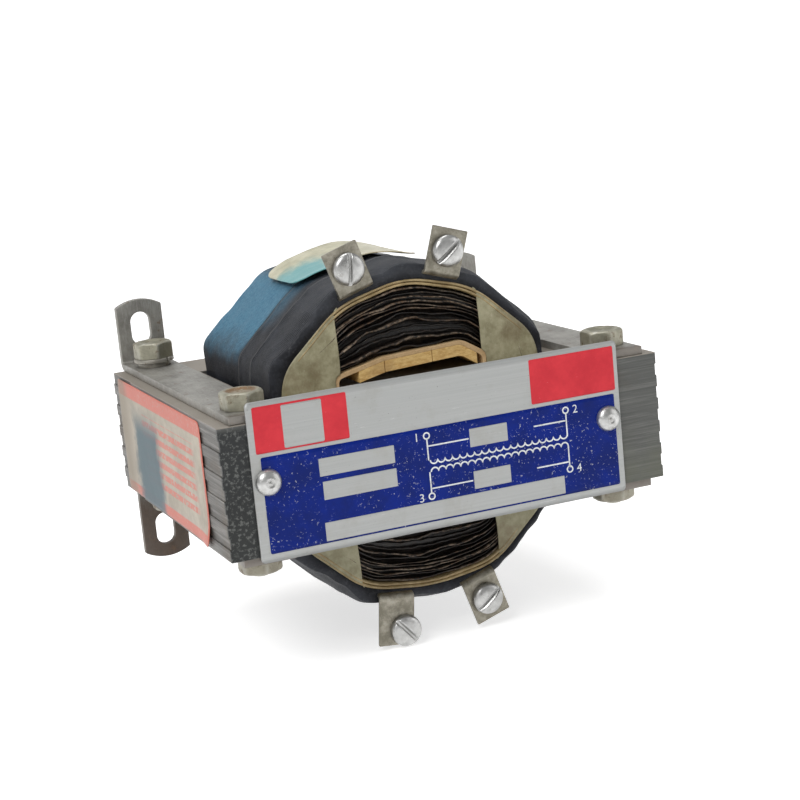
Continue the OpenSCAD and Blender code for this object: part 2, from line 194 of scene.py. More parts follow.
def wobble(*coordinates, size, seed, octaves=3):
    """Smooth noise from -1 to 1: sines of turned sums of the coordinates, halved at each octave."""
    source = np.random.default_rng(seed)
    total = 0
    for octave in range(octaves):
        for _ in range(4):
            turn = source.normal(size=len(coordinates))
            turn /= np.linalg.norm(turn)
            reach = sum(t * np.asarray(c) for t, c in zip(turn, coordinates))
            total = total + np.sin(reach * 2 ** octave * 2 * math.pi / size
                                   + source.uniform(0, 2 * math.pi)) / 2 ** octave / 4
    return total


# ---- The coil's outline ----

def rounded_outline(corners, reach, count):
    """Points evenly spaced round a polygon whose corners are quadratic curves of a given reach."""
    corners = np.asarray(corners, float)
    before = np.roll(corners, 1, 0) - corners
    after = np.roll(corners, -1, 0) - corners
    start = corners + before / np.linalg.norm(before, axis=1)[:, None] * reach
    end = corners + after / np.linalg.norm(after, axis=1)[:, None] * reach
    t = np.linspace(0, 1, 9)[None, :, None]
    curve = (1 - t) ** 2 * start[:, None] + 2 * t * (1 - t) * corners[:, None] + t * t * end[:, None]
    curve = curve.reshape(-1, 2)
    closed = np.vstack([curve, curve[:1]])
    length = np.concatenate([[0], np.cumsum(np.linalg.norm(np.diff(closed, axis=0), axis=1))])
    at = np.linspace(0, length[-1], count, endpoint=False)
    return np.stack([np.interp(at, length, closed[:, k]) for k in (0, 1)], 1)


def coil_outline(depth, count=420, reach=7.0):
    """The coil's octagon with low crowns, a depth in from the outside of the front tape."""
    pad = TAPE_PAD if depth >= TAPE_SIDE else TAPE_PAD * max(depth, 0) / TAPE_SIDE
    hw = COIL_HALF_W - depth
    top, low = COIL_TOP - depth - pad, COIL_BOTTOM + depth + pad
    cut, drop = CORNER_W - CORNER_LOSS * depth, CORNER_H - CORNER_LOSS * depth
    upper, lower = top - CROWN_TOP, low + CROWN_BOTTOM
    right = [(hw, lower + drop), (hw, upper - drop), (hw - cut, upper), (0, top)]
    left = [(cut - hw, upper), (-hw, upper - drop), (-hw, lower + drop), (cut - hw, lower)]
    return rounded_outline(right + left + [(0, low), (hw - cut, lower)],
                           max(reach - 0.3 * depth, 1), count)


def former_outline(depth, count=420):
    """The former's box with its lopsided arches, a depth in from its outside."""
    hw, peak = FORMER_HIGH[0] - depth, FORMER_HIGH[2] - depth
    hz = peak - FORMER_RISE
    steep, flat, shoulder = 0.7 * hw, -0.36 * hw, peak - FORMER_SHOULDER
    return rounded_outline([(hw, -hz), (hw, hz), (steep, peak), (flat, shoulder), (-hw, hz),
                            (-hw, -hz), (flat, -shoulder), (steep, -peak)], FORMER_REACH, count)


def by_angle(outline, angles):
    """The outline's points at the given directions from the middle."""
    turn = np.unwrap(np.arctan2(outline[:, 1], outline[:, 0]))
    if turn[-1] < turn[0]:
        turn, outline = turn[::-1], outline[::-1]
    turn, points = np.concatenate([turn - 2 * math.pi, turn, turn + 2 * math.pi]), np.tile(outline, (3, 1))
    return np.stack([np.interp(angles, turn, points[:, k]) for k in (0, 1)], -1)


# ---- Materials ----

class Finish:
    """A material under construction. Its helpers add nodes and return an output socket."""

    def __init__(self, name):
        self.material = bpy.data.materials.new(name)
        self.material.use_nodes = True
        self.tree = self.material.node_tree
        self.tree.nodes.clear()
        self.shader = self.tree.nodes.new("ShaderNodeBsdfPrincipled")
        output = self.tree.nodes.new("ShaderNodeOutputMaterial")
        self.tree.links.new(self.shader.outputs[0], output.inputs[0])
        self.place = self.tree.nodes.new("ShaderNodeTexCoord").outputs["Object"]
        self.xyz = None

    def put(self, socket, value):
        """Links an output to a socket, or sets the socket to a number or a colour."""
        if isinstance(value, bpy.types.NodeSocket):
            self.tree.links.new(value, socket)
        elif isinstance(value, (tuple, list)) and len(value) == 3 and socket.type == "RGBA":
            socket.default_value = (*value, 1)
        else:
            socket.default_value = value

    def math(self, operation, *values, clamp=False):
        """One sum or other operation on numbers or outputs."""
        node = self.tree.nodes.new("ShaderNodeMath")
        node.operation, node.use_clamp = operation, clamp
        for socket, value in zip(node.inputs, values):
            self.put(socket, value)
        return node.outputs[0]

    def stretched(self, scale=(1, 1, 1), turn=(0, 0, 0)):
        """The object's coordinates, turned and scaled."""
        node = self.tree.nodes.new("ShaderNodeMapping")
        self.put(node.inputs["Vector"], self.place)
        node.inputs["Scale"].default_value = scale
        node.inputs["Rotation"].default_value = turn
        return node.outputs[0]

    def noise(self, per_mm, detail=3.0, rough=0.6, scale=(1, 1, 1), turn=(0, 0, 0)):
        """Cloudy noise from 0 to 1 with so many waves to a millimetre."""
        node = self.tree.nodes.new("ShaderNodeTexNoise")
        self.put(node.inputs["Vector"], self.stretched(scale, turn))
        node.inputs["Scale"].default_value = per_mm / MM
        node.inputs["Detail"].default_value = detail
        node.inputs["Roughness"].default_value = rough
        return node.outputs["Fac"]

    def steps(self, value, low, high):
        """0 below low, 1 above high, and smooth between them."""
        node = self.tree.nodes.new("ShaderNodeMapRange")
        node.interpolation_type = "SMOOTHSTEP"
        self.put(node.inputs["Value"], value)
        node.inputs["From Min"].default_value = low
        node.inputs["From Max"].default_value = high
        return node.outputs["Result"]

    def mix(self, share, first, second):
        """The first colour at a share of 0, the second at 1."""
        node = self.tree.nodes.new("ShaderNodeMix")
        node.data_type = "RGBA"
        self.put(node.inputs["Factor"], share)
        self.put(node.inputs[6], first)
        self.put(node.inputs[7], second)
        return node.outputs[2]

    def axis(self, k):
        """One coordinate in millimetres from the middle of the core."""
        if self.xyz is None:
            node = self.tree.nodes.new("ShaderNodeSeparateXYZ")
            self.put(node.inputs[0], self.place)
            self.xyz = node.outputs
        return self.math("MULTIPLY_ADD", self.xyz[k], 1 / MM, -CENTRE[k] / MM)

    def inside(self, value, low, high, soft=0.3):
        """1 between low and high, fading over a soft width."""
        rise = self.steps(value, low - soft / 2, low + soft / 2)
        fall = self.steps(value, high - soft / 2, high + soft / 2)
        return self.math("SUBTRACT", rise, fall, clamp=True)

    def times(self, *values):
        """The product of shares from 0 to 1."""
        out = values[0]
        for value in values[1:]:
            out = self.math("MULTIPLY", out, value, clamp=True)
        return out

    def worn_edge(self, low=0.52, high=0.6):
        """1 on sharp outer edges, 0 on flat faces."""
        node = self.tree.nodes.new("ShaderNodeNewGeometry")
        return self.steps(node.outputs["Pointiness"], low, high)

    def bump(self, height, distance_mm, before=None):
        """A relief of a height in millimetres, on top of an earlier relief."""
        node = self.tree.nodes.new("ShaderNodeBump")
        node.inputs["Distance"].default_value = distance_mm * MM
        self.put(node.inputs["Height"], height)
        if before is not None:
            self.put(node.inputs["Normal"], before)
        return node.outputs[0]

    def finish(self, colour, rough, metal=0.0, normal=None, level=0.5):
        """Sets the shader's inputs and returns the material."""
        self.put(self.shader.inputs["Base Color"], colour)
        self.put(self.shader.inputs["Roughness"], rough)
        self.put(self.shader.inputs["Metallic"], metal)
        self.shader.inputs["Specular IOR Level"].default_value = level
        if normal is not None:
            self.put(self.shader.inputs["Normal"], normal)
        return self.material


def core_steel():
    """Ground edges of silicon steel sheets, with a grey side, a dark front, brown rust and painted light
    on the top face.
    """
    f = Finish("core_steel")
    sheets = f.noise(0.02, 6, 0.75, scale=(1, 1, 100))
    fine = f.noise(0.05, 4, 0.7, scale=(1, 1, 60))
    grind = f.noise(0.03, 4, 0.7, scale=(1, 1, 30), turn=(0.45, 0, 0))
    patch = f.noise(0.06, 5, 0.65)
    specks = f.steps(f.noise(0.9, 3, 0.7), 0.5, 0.64)
    tone = f.mix(f.steps(sheets, 0.35, 0.65), (0.10, 0.096, 0.09), (0.22, 0.212, 0.20))
    tone = f.mix(f.times(f.steps(grind, 0.5, 0.62), 0.5), tone, (0.36, 0.35, 0.33))
    tone = f.mix(f.times(f.steps(patch, 0.5, 0.72), 0.55), tone, (0.16, 0.12, 0.085))
    front = f.steps(f.axis(1), -HALF_D + 1.2, -HALF_D + 0.2)
    dark = f.times(front, f.steps(f.axis(0), HALF_W - 14, HALF_W - 34))
    near_black = f.mix(specks, (0.008, 0.010, 0.011), (0.12, 0.125, 0.12))
    rim = f.steps(f.axis(2), HALF_H - 1.6, HALF_H - 0.6)
    tone = f.mix(f.times(front, 0.6), tone, (0.058, 0.066, 0.062))
    low = f.times(front, f.steps(f.axis(2), 2, -HALF_H), f.steps(patch, 0.3, 0.6), 0.4)
    tone = f.mix(low, tone, (0.16, 0.17, 0.12))
    tone = f.mix(f.math("SUBTRACT", f.times(dark, 0.92), f.times(dark, rim, 0.5)), tone, near_black)
    # Painted light: the top face is made paler, as if lit from above.
    flat = f.steps(f.axis(2), HALF_H - 0.25, HALF_H - 0.05)
    tone = f.mix(f.times(flat, 0.75), tone, f.mix(patch, (0.30, 0.26, 0.21), (0.40, 0.36, 0.31)))
    relief = f.bump(sheets, 0.035)
    relief = f.bump(fine, 0.03, relief)
    metal = f.math("MULTIPLY_ADD", front, -0.3, 0.45)
    return f.finish(tone, f.math("MULTIPLY_ADD", patch, 0.28, 0.42), metal, relief)


def zinc(name, bright, dull, rust_share, seed_turn=0.0, dish_rust_and_shade=None):
    """Dull zinc plate over steel: cloudy stains, rust pits and lighter worn edges.

    One bolt's head has rust and painted shade in its dish: dark brown fills the dish round a point in
    millimetres at the top of the head.
    """
    f = Finish(name)
    cloud = f.noise(0.12, 6, 0.7, turn=(seed_turn, 0, 0))
    small = f.noise(1.4, 4, 0.7)
    drag = f.noise(0.25, 4, 0.65, scale=(6, 1, 6))
    tone = f.mix(f.steps(cloud, 0.32, 0.68), dull, bright)
    tone = f.mix(f.times(f.steps(drag, 0.5, 0.75), 0.35), tone, tuple(0.6 * c for c in dull))
    spots = f.noise(0.3, 6, 0.72, turn=(0, seed_turn, 0))
    pits = f.times(f.steps(spots, 0.66 - rust_share, 0.76 - rust_share), f.steps(small, 0.38, 0.6))
    tone = f.mix(f.times(pits, 0.85), tone, (0.15, 0.085, 0.045))
    if dish_rust_and_shade is not None:
        x, y, z = dish_rust_and_shade
        across = f.math("POWER", f.math("SUBTRACT", f.axis(0), x), 2.0)
        along = f.math("POWER", f.math("SUBTRACT", f.axis(1), y), 2.0)
        far = f.math("POWER", f.math("ADD", across, along), 0.5)
        dish = f.times(f.steps(far, 4.4, 3.2), f.steps(f.axis(2), z - 0.7, z - 0.4))
        # Dark brown in the dish: partly real rust, partly painted shade in the hollow of the head.
        rust = f.mix(small, (0.10, 0.05, 0.02), (0.36, 0.22, 0.11))
        tone = f.mix(f.times(dish, f.steps(small, 0.25, 0.5)), tone, rust)
    tone = f.mix(f.times(f.worn_edge(), 0.5), tone, (0.62, 0.61, 0.56))
    normal = f.bump(small, 0.05, f.bump(cloud, 0.15))
    rough = f.math("MULTIPLY_ADD", small, 0.3, 0.3)
    return f.finish(tone, f.math("ADD", rough, f.times(pits, 0.3)), 0.55, normal)


def strip_zinc():
    """The bracket strips: grey zinc with a light worn run, brown front ends and lower tabs with rust."""
    f = Finish("strip_zinc")
    cloud = f.noise(0.1, 6, 0.7)
    small = f.noise(1.2, 4, 0.7)
    drag = f.noise(0.5, 4, 0.65, scale=(8, 0.6, 1))
    tone = f.mix(f.steps(cloud, 0.3, 0.7), (0.20, 0.19, 0.17), (0.36, 0.35, 0.32))
    tone = f.mix(f.times(f.steps(drag, 0.45, 0.7), 0.4), tone, (0.48, 0.47, 0.44))
    front = f.steps(f.axis(1), -HALF_D + 4.5, -HALF_D + 1.2)
    tone = f.mix(f.times(front, 0.85), tone, (0.085, 0.062, 0.045))
    low = f.steps(f.math("ADD", f.axis(2), f.math("MULTIPLY", cloud, 14.0)), -HALF_H + 9, -HALF_H - 3)
    tone = f.mix(f.times(low, 0.92), tone, f.mix(small, (0.035, 0.024, 0.018), (0.13, 0.085, 0.06)))
    pits = f.times(f.steps(f.noise(0.25, 6, 0.72), 0.56, 0.68), f.steps(small, 0.35, 0.6))
    tone = f.mix(f.times(pits, 0.7), tone, (0.17, 0.10, 0.06))
    tone = f.mix(f.times(f.worn_edge(0.53, 0.62), 0.45), tone, (0.66, 0.65, 0.61))
    normal = f.bump(small, 0.05, f.bump(cloud, 0.2))
    return f.finish(tone, f.math("MULTIPLY_ADD", small, 0.35, 0.32), 0.5, normal)


def wood():
    """Varnished yellow wood with long grain and darker growth lines."""
    f = Finish("wedge_wood")
    grain = f.noise(0.5, 5, 0.7, scale=(1, 0.06, 3))
    broad = f.noise(0.12, 4, 0.6)
    tone = f.mix(f.steps(grain, 0.3, 0.7), (0.62, 0.37, 0.12), (0.92, 0.66, 0.28))
    tone = f.mix(f.times(f.steps(broad, 0.5, 0.75), 0.5), tone, (0.36, 0.20, 0.08))
    return f.finish(tone, 0.4, 0, f.bump(grain, 0.12))


def pressboard():
    """The former's tan board: soft mottling and small dark varnish specks."""
    f = Finish("former_board")
    mottle = f.noise(0.3, 6, 0.75)
    fibre = f.noise(2.2, 3, 0.6)
    tone = f.mix(mottle, (0.46, 0.29, 0.13), (0.80, 0.58, 0.33))
    tone = f.mix(f.times(f.steps(fibre, 0.55, 0.75), 0.6), tone, (0.20, 0.11, 0.05))
    return f.finish(tone, 0.5, 0, f.bump(fibre, 0.08))


def layer_paper():
    """Edges of varnished layer insulation: black to brown, paler and greyer on the front lips."""
    f = Finish("winding_layers")
    long = f.noise(0.18, 5, 0.7)
    small = f.noise(1.1, 4, 0.7)
    tone = f.mix(f.steps(small, 0.4, 0.7), (0.006, 0.005, 0.0045), (0.03, 0.021, 0.015))
    lip = f.math("ADD", f.steps(f.axis(1), COIL_FRONT + 1.5, COIL_FRONT + 0.2),
                 f.steps(f.axis(1), COIL_REAR - 1.5, COIL_REAR - 0.2), clamp=True)
    pale = f.mix(f.steps(long, 0.4, 0.65), (0.13, 0.075, 0.04), (0.42, 0.33, 0.24))
    tone = f.mix(f.times(lip, f.steps(small, 0.36, 0.6), 0.85), tone, pale)
    return f.finish(tone, 0.38, 0, f.bump(small, 0.12))


def kraft(name="kraft_paper", pale=(0.46, 0.43, 0.28), deep=(0.27, 0.245, 0.14)):
    """Varnished kraft paper: olive cream, brown stains, fine scratches and a faint weave of fibres."""
    f = Finish(name)
    stain = f.noise(0.05, 6, 0.7)
    cloud = f.noise(0.22, 5, 0.7)
    fibre = f.noise(1.6, 4, 0.75, scale=(1, 1, 0.5), turn=(0, 0.5, 0))
    scratch = f.steps(f.noise(0.35, 5, 0.7, scale=(5, 1, 0.5), turn=(0, 0.6, 0)), 0.62, 0.7)
    tone = f.mix(f.steps(cloud, 0.3, 0.7), deep, pale)
    tone = f.mix(f.times(f.steps(stain, 0.5, 0.66), 0.6), tone, (0.20, 0.15, 0.08))
    tone = f.mix(f.times(f.steps(fibre, 0.56, 0.74), 0.35), tone, (0.62, 0.59, 0.44))
    tone = f.mix(f.times(scratch, 0.3), tone, (0.60, 0.56, 0.42))
    return f.finish(tone, 0.45, 0, f.bump(fibre, 0.06, f.bump(cloud, 0.3)))


def cloth_tape():
    """Black varnished cloth tape: a fine weave, dusty grey bloom, one blue stain on the left, and painted
    shadow lines with painted highlights where the bands step.
    """
    f = Finish("black_tape")
    weave_a = f.tree.nodes.new("ShaderNodeTexWave")
    weave_a.bands_direction = "Y"
    weave_a.inputs["Scale"].default_value = 0.45 / MM
    weave_a.inputs["Distortion"].default_value = 1.5
    f.put(weave_a.inputs["Vector"], f.place)
    cross = f.noise(2.0, 3, 0.6, scale=(1, 0.3, 1))
    dust = f.noise(0.1, 6, 0.72)
    small = f.noise(1.2, 4, 0.7)
    scuff = f.steps(f.noise(0.3, 6, 0.75, scale=(1, 3, 1)), 0.6, 0.72)
    tone = f.mix(f.steps(dust, 0.35, 0.7), (0.006, 0.007, 0.011), (0.030, 0.033, 0.042))
    upward = f.steps(f.axis(2), 22, 44)
    tone = f.mix(f.times(upward, 0.4), tone, (0.050, 0.055, 0.064))
    tone = f.mix(f.times(f.steps(small, 0.5, 0.75), 0.35), tone, (0.085, 0.09, 0.105))
    tone = f.mix(f.times(scuff, 0.3), tone, (0.16, 0.16, 0.17))
    rough_z = f.math("ADD", f.axis(2), f.math("MULTIPLY", dust, 12.0))
    blue = f.times(f.steps(f.axis(0), -13, -21), f.steps(rough_z, 26, 36), f.steps(f.axis(1), -4, 1))
    edge = f.times(f.steps(f.axis(0), -13, -21), f.steps(rough_z, 34, 44),
                   f.steps(f.axis(1), -11, -6), 0.4)
    blue = f.math("MAXIMUM", blue, edge)
    paint = f.mix(f.steps(small, 0.3, 0.7), (0.040, 0.15, 0.25), (0.085, 0.24, 0.35))
    tone = f.mix(f.times(blue, 0.92), tone, paint)
    # Painted shadow and highlight: a dark line where each band's edge steps onto the next, with a pale
    # painted highlight on the lip just in front of it.
    drift = f.math("MULTIPLY_ADD", dust, 1.2, f.axis(1))
    for node in BAND_NODES[1:]:
        ridge_shadow_y = local(node)[0][1] + 0.6
        tone = f.mix(f.times(f.inside(drift, ridge_shadow_y - 0.5, ridge_shadow_y + 0.35, 0.3), 0.95), tone, (0.004,) * 3)
        tone = f.mix(f.times(f.inside(drift, ridge_shadow_y - 0.95, ridge_shadow_y - 0.45, 0.3), 0.3), tone, (0.16,) * 3)
    normal = f.bump(small, 0.12, f.bump(f.math("ADD", weave_a.outputs["Fac"], cross), 0.08))
    return f.finish(tone, f.math("MULTIPLY_ADD", dust, 0.3, 0.42), 0, normal, level=0.36)


def top_paper():
    """The cream paper on the coil's top: blank, stained teal at its left end and brown at its edges."""
    f = Finish("top_label_paper")
    cloud = f.noise(0.15, 6, 0.7)
    small = f.noise(1.5, 4, 0.7)
    tone = f.mix(f.steps(cloud, 0.3, 0.7), (0.42, 0.40, 0.27), (0.66, 0.63, 0.47))
    side = f.math("ADD", f.axis(0), f.math("MULTIPLY", cloud, 9.0))
    ahead = f.math("MULTIPLY_ADD", cloud, 12.0, f.axis(1))
    tone = f.mix(f.times(f.steps(side, -2, -8), f.steps(ahead, 17, 8), 0.9), tone,
                 f.mix(small, (0.05, 0.30, 0.34), (0.16, 0.46, 0.47)))
    front = f.math("MULTIPLY_ADD", small, 4.0, f.axis(1))
    tone = f.mix(f.times(f.steps(front, 0, -5), f.steps(f.axis(0), -6, 4), 0.7), tone,
                 (0.50, 0.41, 0.24))
    return f.finish(tone, 0.35, 0, f.bump(small, 0.05))


def side_paper(low, high):
    """The blank paper on the core's left side: red bands at its ends, ruled lines and a teal run."""
    f = Finish("side_label_paper")
    cloud = f.noise(0.08, 6, 0.7)
    small = f.noise(1.3, 4, 0.7)
    y, z = f.axis(1), f.axis(2)
    paper = f.mix(f.steps(cloud, 0.3, 0.7), (0.36, 0.31, 0.24), (0.55, 0.49, 0.40))
    coral = f.mix(small, (0.62, 0.13, 0.09), (0.72, 0.20, 0.15))
    worn = f.math("SUBTRACT", 1.0, f.times(f.steps(small, 0.55, 0.72), 0.8))
    bands = f.math("MAXIMUM", f.steps(z, high[2] - 4.2, high[2] - 3.8),
                   f.steps(z, low[2] + 3.0, low[2] + 2.6))
    bands = f.math("MAXIMUM", bands, f.steps(y, low[1] + 1.3, low[1] + 1.0))
    bands = f.times(bands, worn, f.steps(y, high[1] + 2, high[1] - 3))
    stroke = f.math("PINGPONG", f.math("SUBTRACT", z, low[2]), 1.45)
    rules = f.times(f.steps(stroke, 0.55, 0.75), f.inside(z, low[2] + 5.5, high[2] - 6.5),
                    f.inside(y, low[1] + 8, high[1] - 22, 4.0), f.steps(f.noise(0.7, 3, 0.7), 0.36, 0.48))
    tone = f.mix(f.times(rules, 0.8), paper, coral)
    tone = f.mix(f.times(bands, 0.9), tone, coral)
    run = f.math("MULTIPLY_ADD", cloud, 16.0, y)
    teal = f.times(f.inside(run, high[1] - 28, high[1] - 5, 7.0), f.steps(z, high[2] - 4, high[2] - 13))
    tone = f.mix(f.times(teal, 0.97), tone, (0.035, 0.09, 0.115))
    grime = f.times(f.steps(run, high[1] - 6, high[1] + 5), 0.7)
    tone = f.mix(grime, tone, (0.24, 0.19, 0.13))
    return f.finish(tone, 0.5, 0, f.bump(small, 0.04))


def bright_metal(name, tone_a, tone_b, rough):
    """Plated metal with fine brushing, faint stains and darker grime in its hollows."""
    f = Finish(name)
    cloud = f.noise(0.3, 5, 0.7)
    brush = f.noise(0.8, 4, 0.7, scale=(1, 1, 12), turn=(0, 0.7, 0))
    tone = f.mix(f.steps(cloud, 0.35, 0.7), tone_a, tone_b)
    node = f.tree.nodes.new("ShaderNodeNewGeometry")
    hollow = f.steps(node.outputs["Pointiness"], 0.47, 0.40)
    grime = f.times(f.steps(f.noise(0.45, 5, 0.75), 0.55, 0.7), 0.45)
    tone = f.mix(f.math("MAXIMUM", f.times(hollow, 0.8), grime), tone, (0.10, 0.085, 0.065))
    return f.finish(tone, f.math("MULTIPLY_ADD", cloud, 0.2, rough), 0.85, f.bump(brush, 0.03))


def plate_metal():
    """The nameplate's bare aluminium: brushed lengthways, with scratches, specks and dull cloud."""
    f = Finish("plate_metal")
    brush = f.noise(0.3, 5, 0.75, scale=(0.05, 1, 8))
    cloud = f.noise(0.08, 5, 0.7)
    specks = f.steps(f.noise(2.2, 3, 0.7), 0.66, 0.74)
    scratch = f.steps(f.noise(0.3, 4, 0.7, scale=(0.4, 1, 7), turn=(0, 0.5, 0)), 0.68, 0.72)
    tone = f.mix(brush, (0.34, 0.35, 0.345), (0.52, 0.53, 0.52))
    tone = f.mix(f.times(f.steps(cloud, 0.5, 0.7), 0.5), tone, (0.36, 0.35, 0.32))
    tone = f.mix(f.times(specks, 0.7), tone, (0.10, 0.09, 0.08))
    tone = f.mix(f.times(scratch, 0.5), tone, (0.85, 0.85, 0.85))
    return f.finish(tone, f.math("MULTIPLY_ADD", brush, 0.15, 0.38), 0.35, f.bump(brush, 0.02))


def plate_ink(name, ink, deep, wear):
    """Printed ink on the nameplate: slightly cloudy, chipped to bare metal in specks and scratches."""
    f = Finish(name)
    cloud = f.noise(0.1, 5, 0.7)
    chips = f.steps(f.noise(1.6, 4, 0.75), 0.72 - wear, 0.76 - wear)
    crowd = f.steps(f.noise(0.07, 3, 0.6), 0.35, 0.6)
    line = f.noise(0.2, 3, 0.6, scale=(0.3, 1, 9), turn=(0, -0.75, 0))
    scratch = f.times(f.steps(line, 0.715, 0.735), f.steps(cloud, 0.45, 0.55))
    bare = f.math("MAXIMUM", f.times(chips, crowd), scratch)
    tone = f.mix(f.steps(cloud, 0.3, 0.7), deep, ink)
    tone = f.mix(f.times(bare, 0.85), tone, (0.66, 0.68, 0.70))
    return f.finish(tone, f.math("MULTIPLY_ADD", cloud, 0.2, 0.28), 0, f.bump(bare, -0.03), level=0.16)


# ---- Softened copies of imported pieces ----

def softened(name, node, material, width, segments=2):
    """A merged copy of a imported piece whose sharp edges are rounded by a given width."""
    mesh = NODES[node].data.copy()
    mesh.name = name
    face_outwards(mesh, 1e-6, math.radians(1.0))
    mesh.materials.clear()
    mesh.materials.append(material)
    mesh.shade_smooth()
    piece = ride_along(name, mesh, (node,))
    edge = piece.modifiers.new("rounding", "BEVEL")
    edge.width = width * MM
    edge.segments = segments
    edge.limit_method = "ANGLE"
    edge.angle_limit = math.radians(35)
    edge.use_clamp_overlap = True
    flat = piece.modifiers.new("shading", "WEIGHTED_NORMAL")
    flat.keep_sharp = True
    return piece


def give(node, material):
    """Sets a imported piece's material and leaves its mesh as it is."""
    mesh = NODES[node].data
    mesh.materials.clear()
    mesh.materials.append(material)


# ---- Tape bands ----

def tape_band(name, node, material, seed):
    """One band of cloth tape, a closed tube whose section runs from the kraft wrap over the band.

    Round the coil the section's outer side follows the outline at the band's depth. Its front edge
    rolls in and ripples, long soft creases run along Y, and its rear edge curls over the next band.
    The front band also draws in towards the coil's end, most of all at its lower right.
    """
    low, high = local(node)
    depth = COIL_HALF_W - high[0]
    count = 560
    outer, inner = coil_outline(depth + 0.35, count, 2.6), coil_outline(TAPE_SIDE + 0.05, count)
    angle = np.arctan2(outer[:, 1], outer[:, 0])
    inner = by_angle(inner, angle)
    around = np.arange(count) / count * 2 * math.pi
    length = high[1] - low[1]
    lip = np.array([0, 0, 0.15, 0.4, 0.8, 1.5]) * (1 if depth < 0.1 else 1.5)
    across = np.concatenate([lip / length, np.linspace(2.4 / length, 1 - 1.2 / length, 14),
                             1 - np.array([0.8, 0.4, 0.0]) / length])
    y = low[1] + across * length
    rise = np.ones_like(across)
    rise[:6] = 0, 0.62, 0.86, 0.95, 0.985, 1
    rise[-1] = 0.55
    shape = np.stack([rise] * count)
    crease = 0.22 * wobble(around[:, None] * 12, y[None, :] * 0.25, size=5, seed=seed)
    crease = crease + 0.12 * wobble(around[:, None] * 30, y[None, :], size=9, seed=seed + 4, octaves=2)
    curl = 0.42 * np.exp(-((y - high[1]) / 1.0) ** 2)[None] * (node != BAND_NODES[2])
    pull = 0.9 * np.clip(wobble(around * 16, size=9, seed=seed + 1), -1, 0.1)[:, None]
    in_front = node == BAND_NODES[0]
    fade, tuck, below = (3.6, 1.0, 0.5) if in_front else (2.2, 0.0, 0.0)
    pull = pull - tuck * (1 + np.cos(angle + below))[:, None]
    edge = np.exp(-((y[None, :] - low[1]) / fade) ** 2)
    radial = outer - inner
    reach = np.linalg.norm(radial, axis=1)[:, None]
    share = shape + (crease + curl + pull * edge) * shape / reach - 0.10 * shape
    plan = inner[:, None, :] + radial[:, None, :] * share[..., None]
    ripple = 0.45 * wobble(around[:, None] * 14, size=7, seed=seed + 2)
    ys = np.clip(y[None, :] + ripple * (edge + 0.4 * (across == 1)), low[1], high[1] + 0.2)
    skin = standing(plan, ys)
    lines = [standing(inner, low[1] + 0.3), *skin.swapaxes(0, 1)[1:], standing(inner, high[1])]
    return outward(add_mesh(name, *hoop(lines), material, "black_tape", (node,)))


# ---- Layers of insulation and wire seen at the coil's ends ----

def layer_rings(name, first, last, material, replaced, seed):
    """Nested wavy rings between two outlines, each a thin closed sheet with a rounded front lip.

    A share from 0 to 1 mixes the former's outline into the kraft wrap's. Each sheet takes a share of
    its own and waves in and out a little, and its lip stands a different distance forward. A solid
    body behind the lips fills the space between the sheets.
    """
    count, body_inset, source = 520, 2.6, np.random.default_rng(seed)
    angles = np.arange(count) / count * 2 * math.pi
    start = by_angle(former_outline(0), angles)
    end = by_angle(coil_outline(TAPE_SIDE + KRAFT), angles)
    sheets = 6
    parts = []
    for k in range(sheets):
        share = first + (last - first) * (k + 0.5) / sheets
        half = (last - first) / sheets * 0.5
        wave = half * 0.65 * wobble(angles * 6, size=9, seed=seed + 7 * k)
        swell = wobble(angles * 15, size=6, seed=seed + 90 + k)
        thick = half * (0.26 + 0.26 * source.random() + 0.12 * swell)
        lip = 0.15 + 1.5 * source.random() ** 1.5 + 0.35 * wobble(angles * 12, size=7, seed=seed + 50 + k)
        lip = np.clip(lip, 0.0, 2.0)
        bend = half * 0.6 * wobble(angles * 16, size=7, seed=seed + 130 + k)
        section = [(-1, 3.2, 0), (-1, 0.5, 0.5), (-0.8, 0.12, 0.9), (0, 0.0, 1), (0.8, 0.12, 0.9),
                   (1, 0.5, 0.5), (1, 3.2, 0)]
        lines = []
        for end_sign in (1, -1):
            for side, back, lean in section[::end_sign]:
                s = share + wave + side * thick + bend * lean
                plan = start + (end - start) * np.clip(s, first * 0.98, last)[:, None]
                inset = lip + back + 0.25
                lines.append(standing(plan, COIL_FRONT + inset if end_sign > 0 else COIL_REAR - inset))
        parts.append(hoop(lines))
    shares = ((first, COIL_FRONT + body_inset), (last, COIL_FRONT + body_inset),
              (last, COIL_REAR - body_inset), (first, COIL_REAR - body_inset))
    parts.append(hoop([standing(start + (end - start) * share, y) for share, y in shares]))
    return outward(add_mesh(name, *joined(parts), material, "winding_layers", replaced))


def kraft_rim(material):
    """The kraft wrap under the tape: two turns of heavy paper whose front edges wave a little."""
    angles = np.arange(480) / 480 * 2 * math.pi
    parts = []
    turns = ((TAPE_SIDE + KRAFT, TAPE_SIDE + 0.9), (TAPE_SIDE + 0.75, TAPE_SIDE))
    for k, (inner_depth, outer_depth) in enumerate(turns):
        a, b = by_angle(coil_outline(inner_depth), angles), by_angle(coil_outline(outer_depth), angles)
        wave = 0.25 * wobble(angles * 10, size=8, seed=300 + k)
        front = COIL_FRONT + 0.05 + 0.35 * (1 + wobble(angles * 9, size=9, seed=310 + k)) / 2
        rear = COIL_REAR - 0.3
        lines = [standing(a + (b - a) * (mix + wave * (0.2 < mix < 0.9))[:, None], front + back)
                 for mix, back in ((0, 0.35), (0.3, 0), (0.7, 0), (1, 0.35))]
        lines += [standing(a + (b - a) * mix, rear - back)
                  for mix, back in ((1, 0.3), (0.7, 0), (0.3, 0), (0, 0.3))]
        parts.append(hoop(lines))
    return outward(add_mesh("kraft_wrap_turns", *joined(parts), material, "kraft_paper", ("kraft_wrap",)))


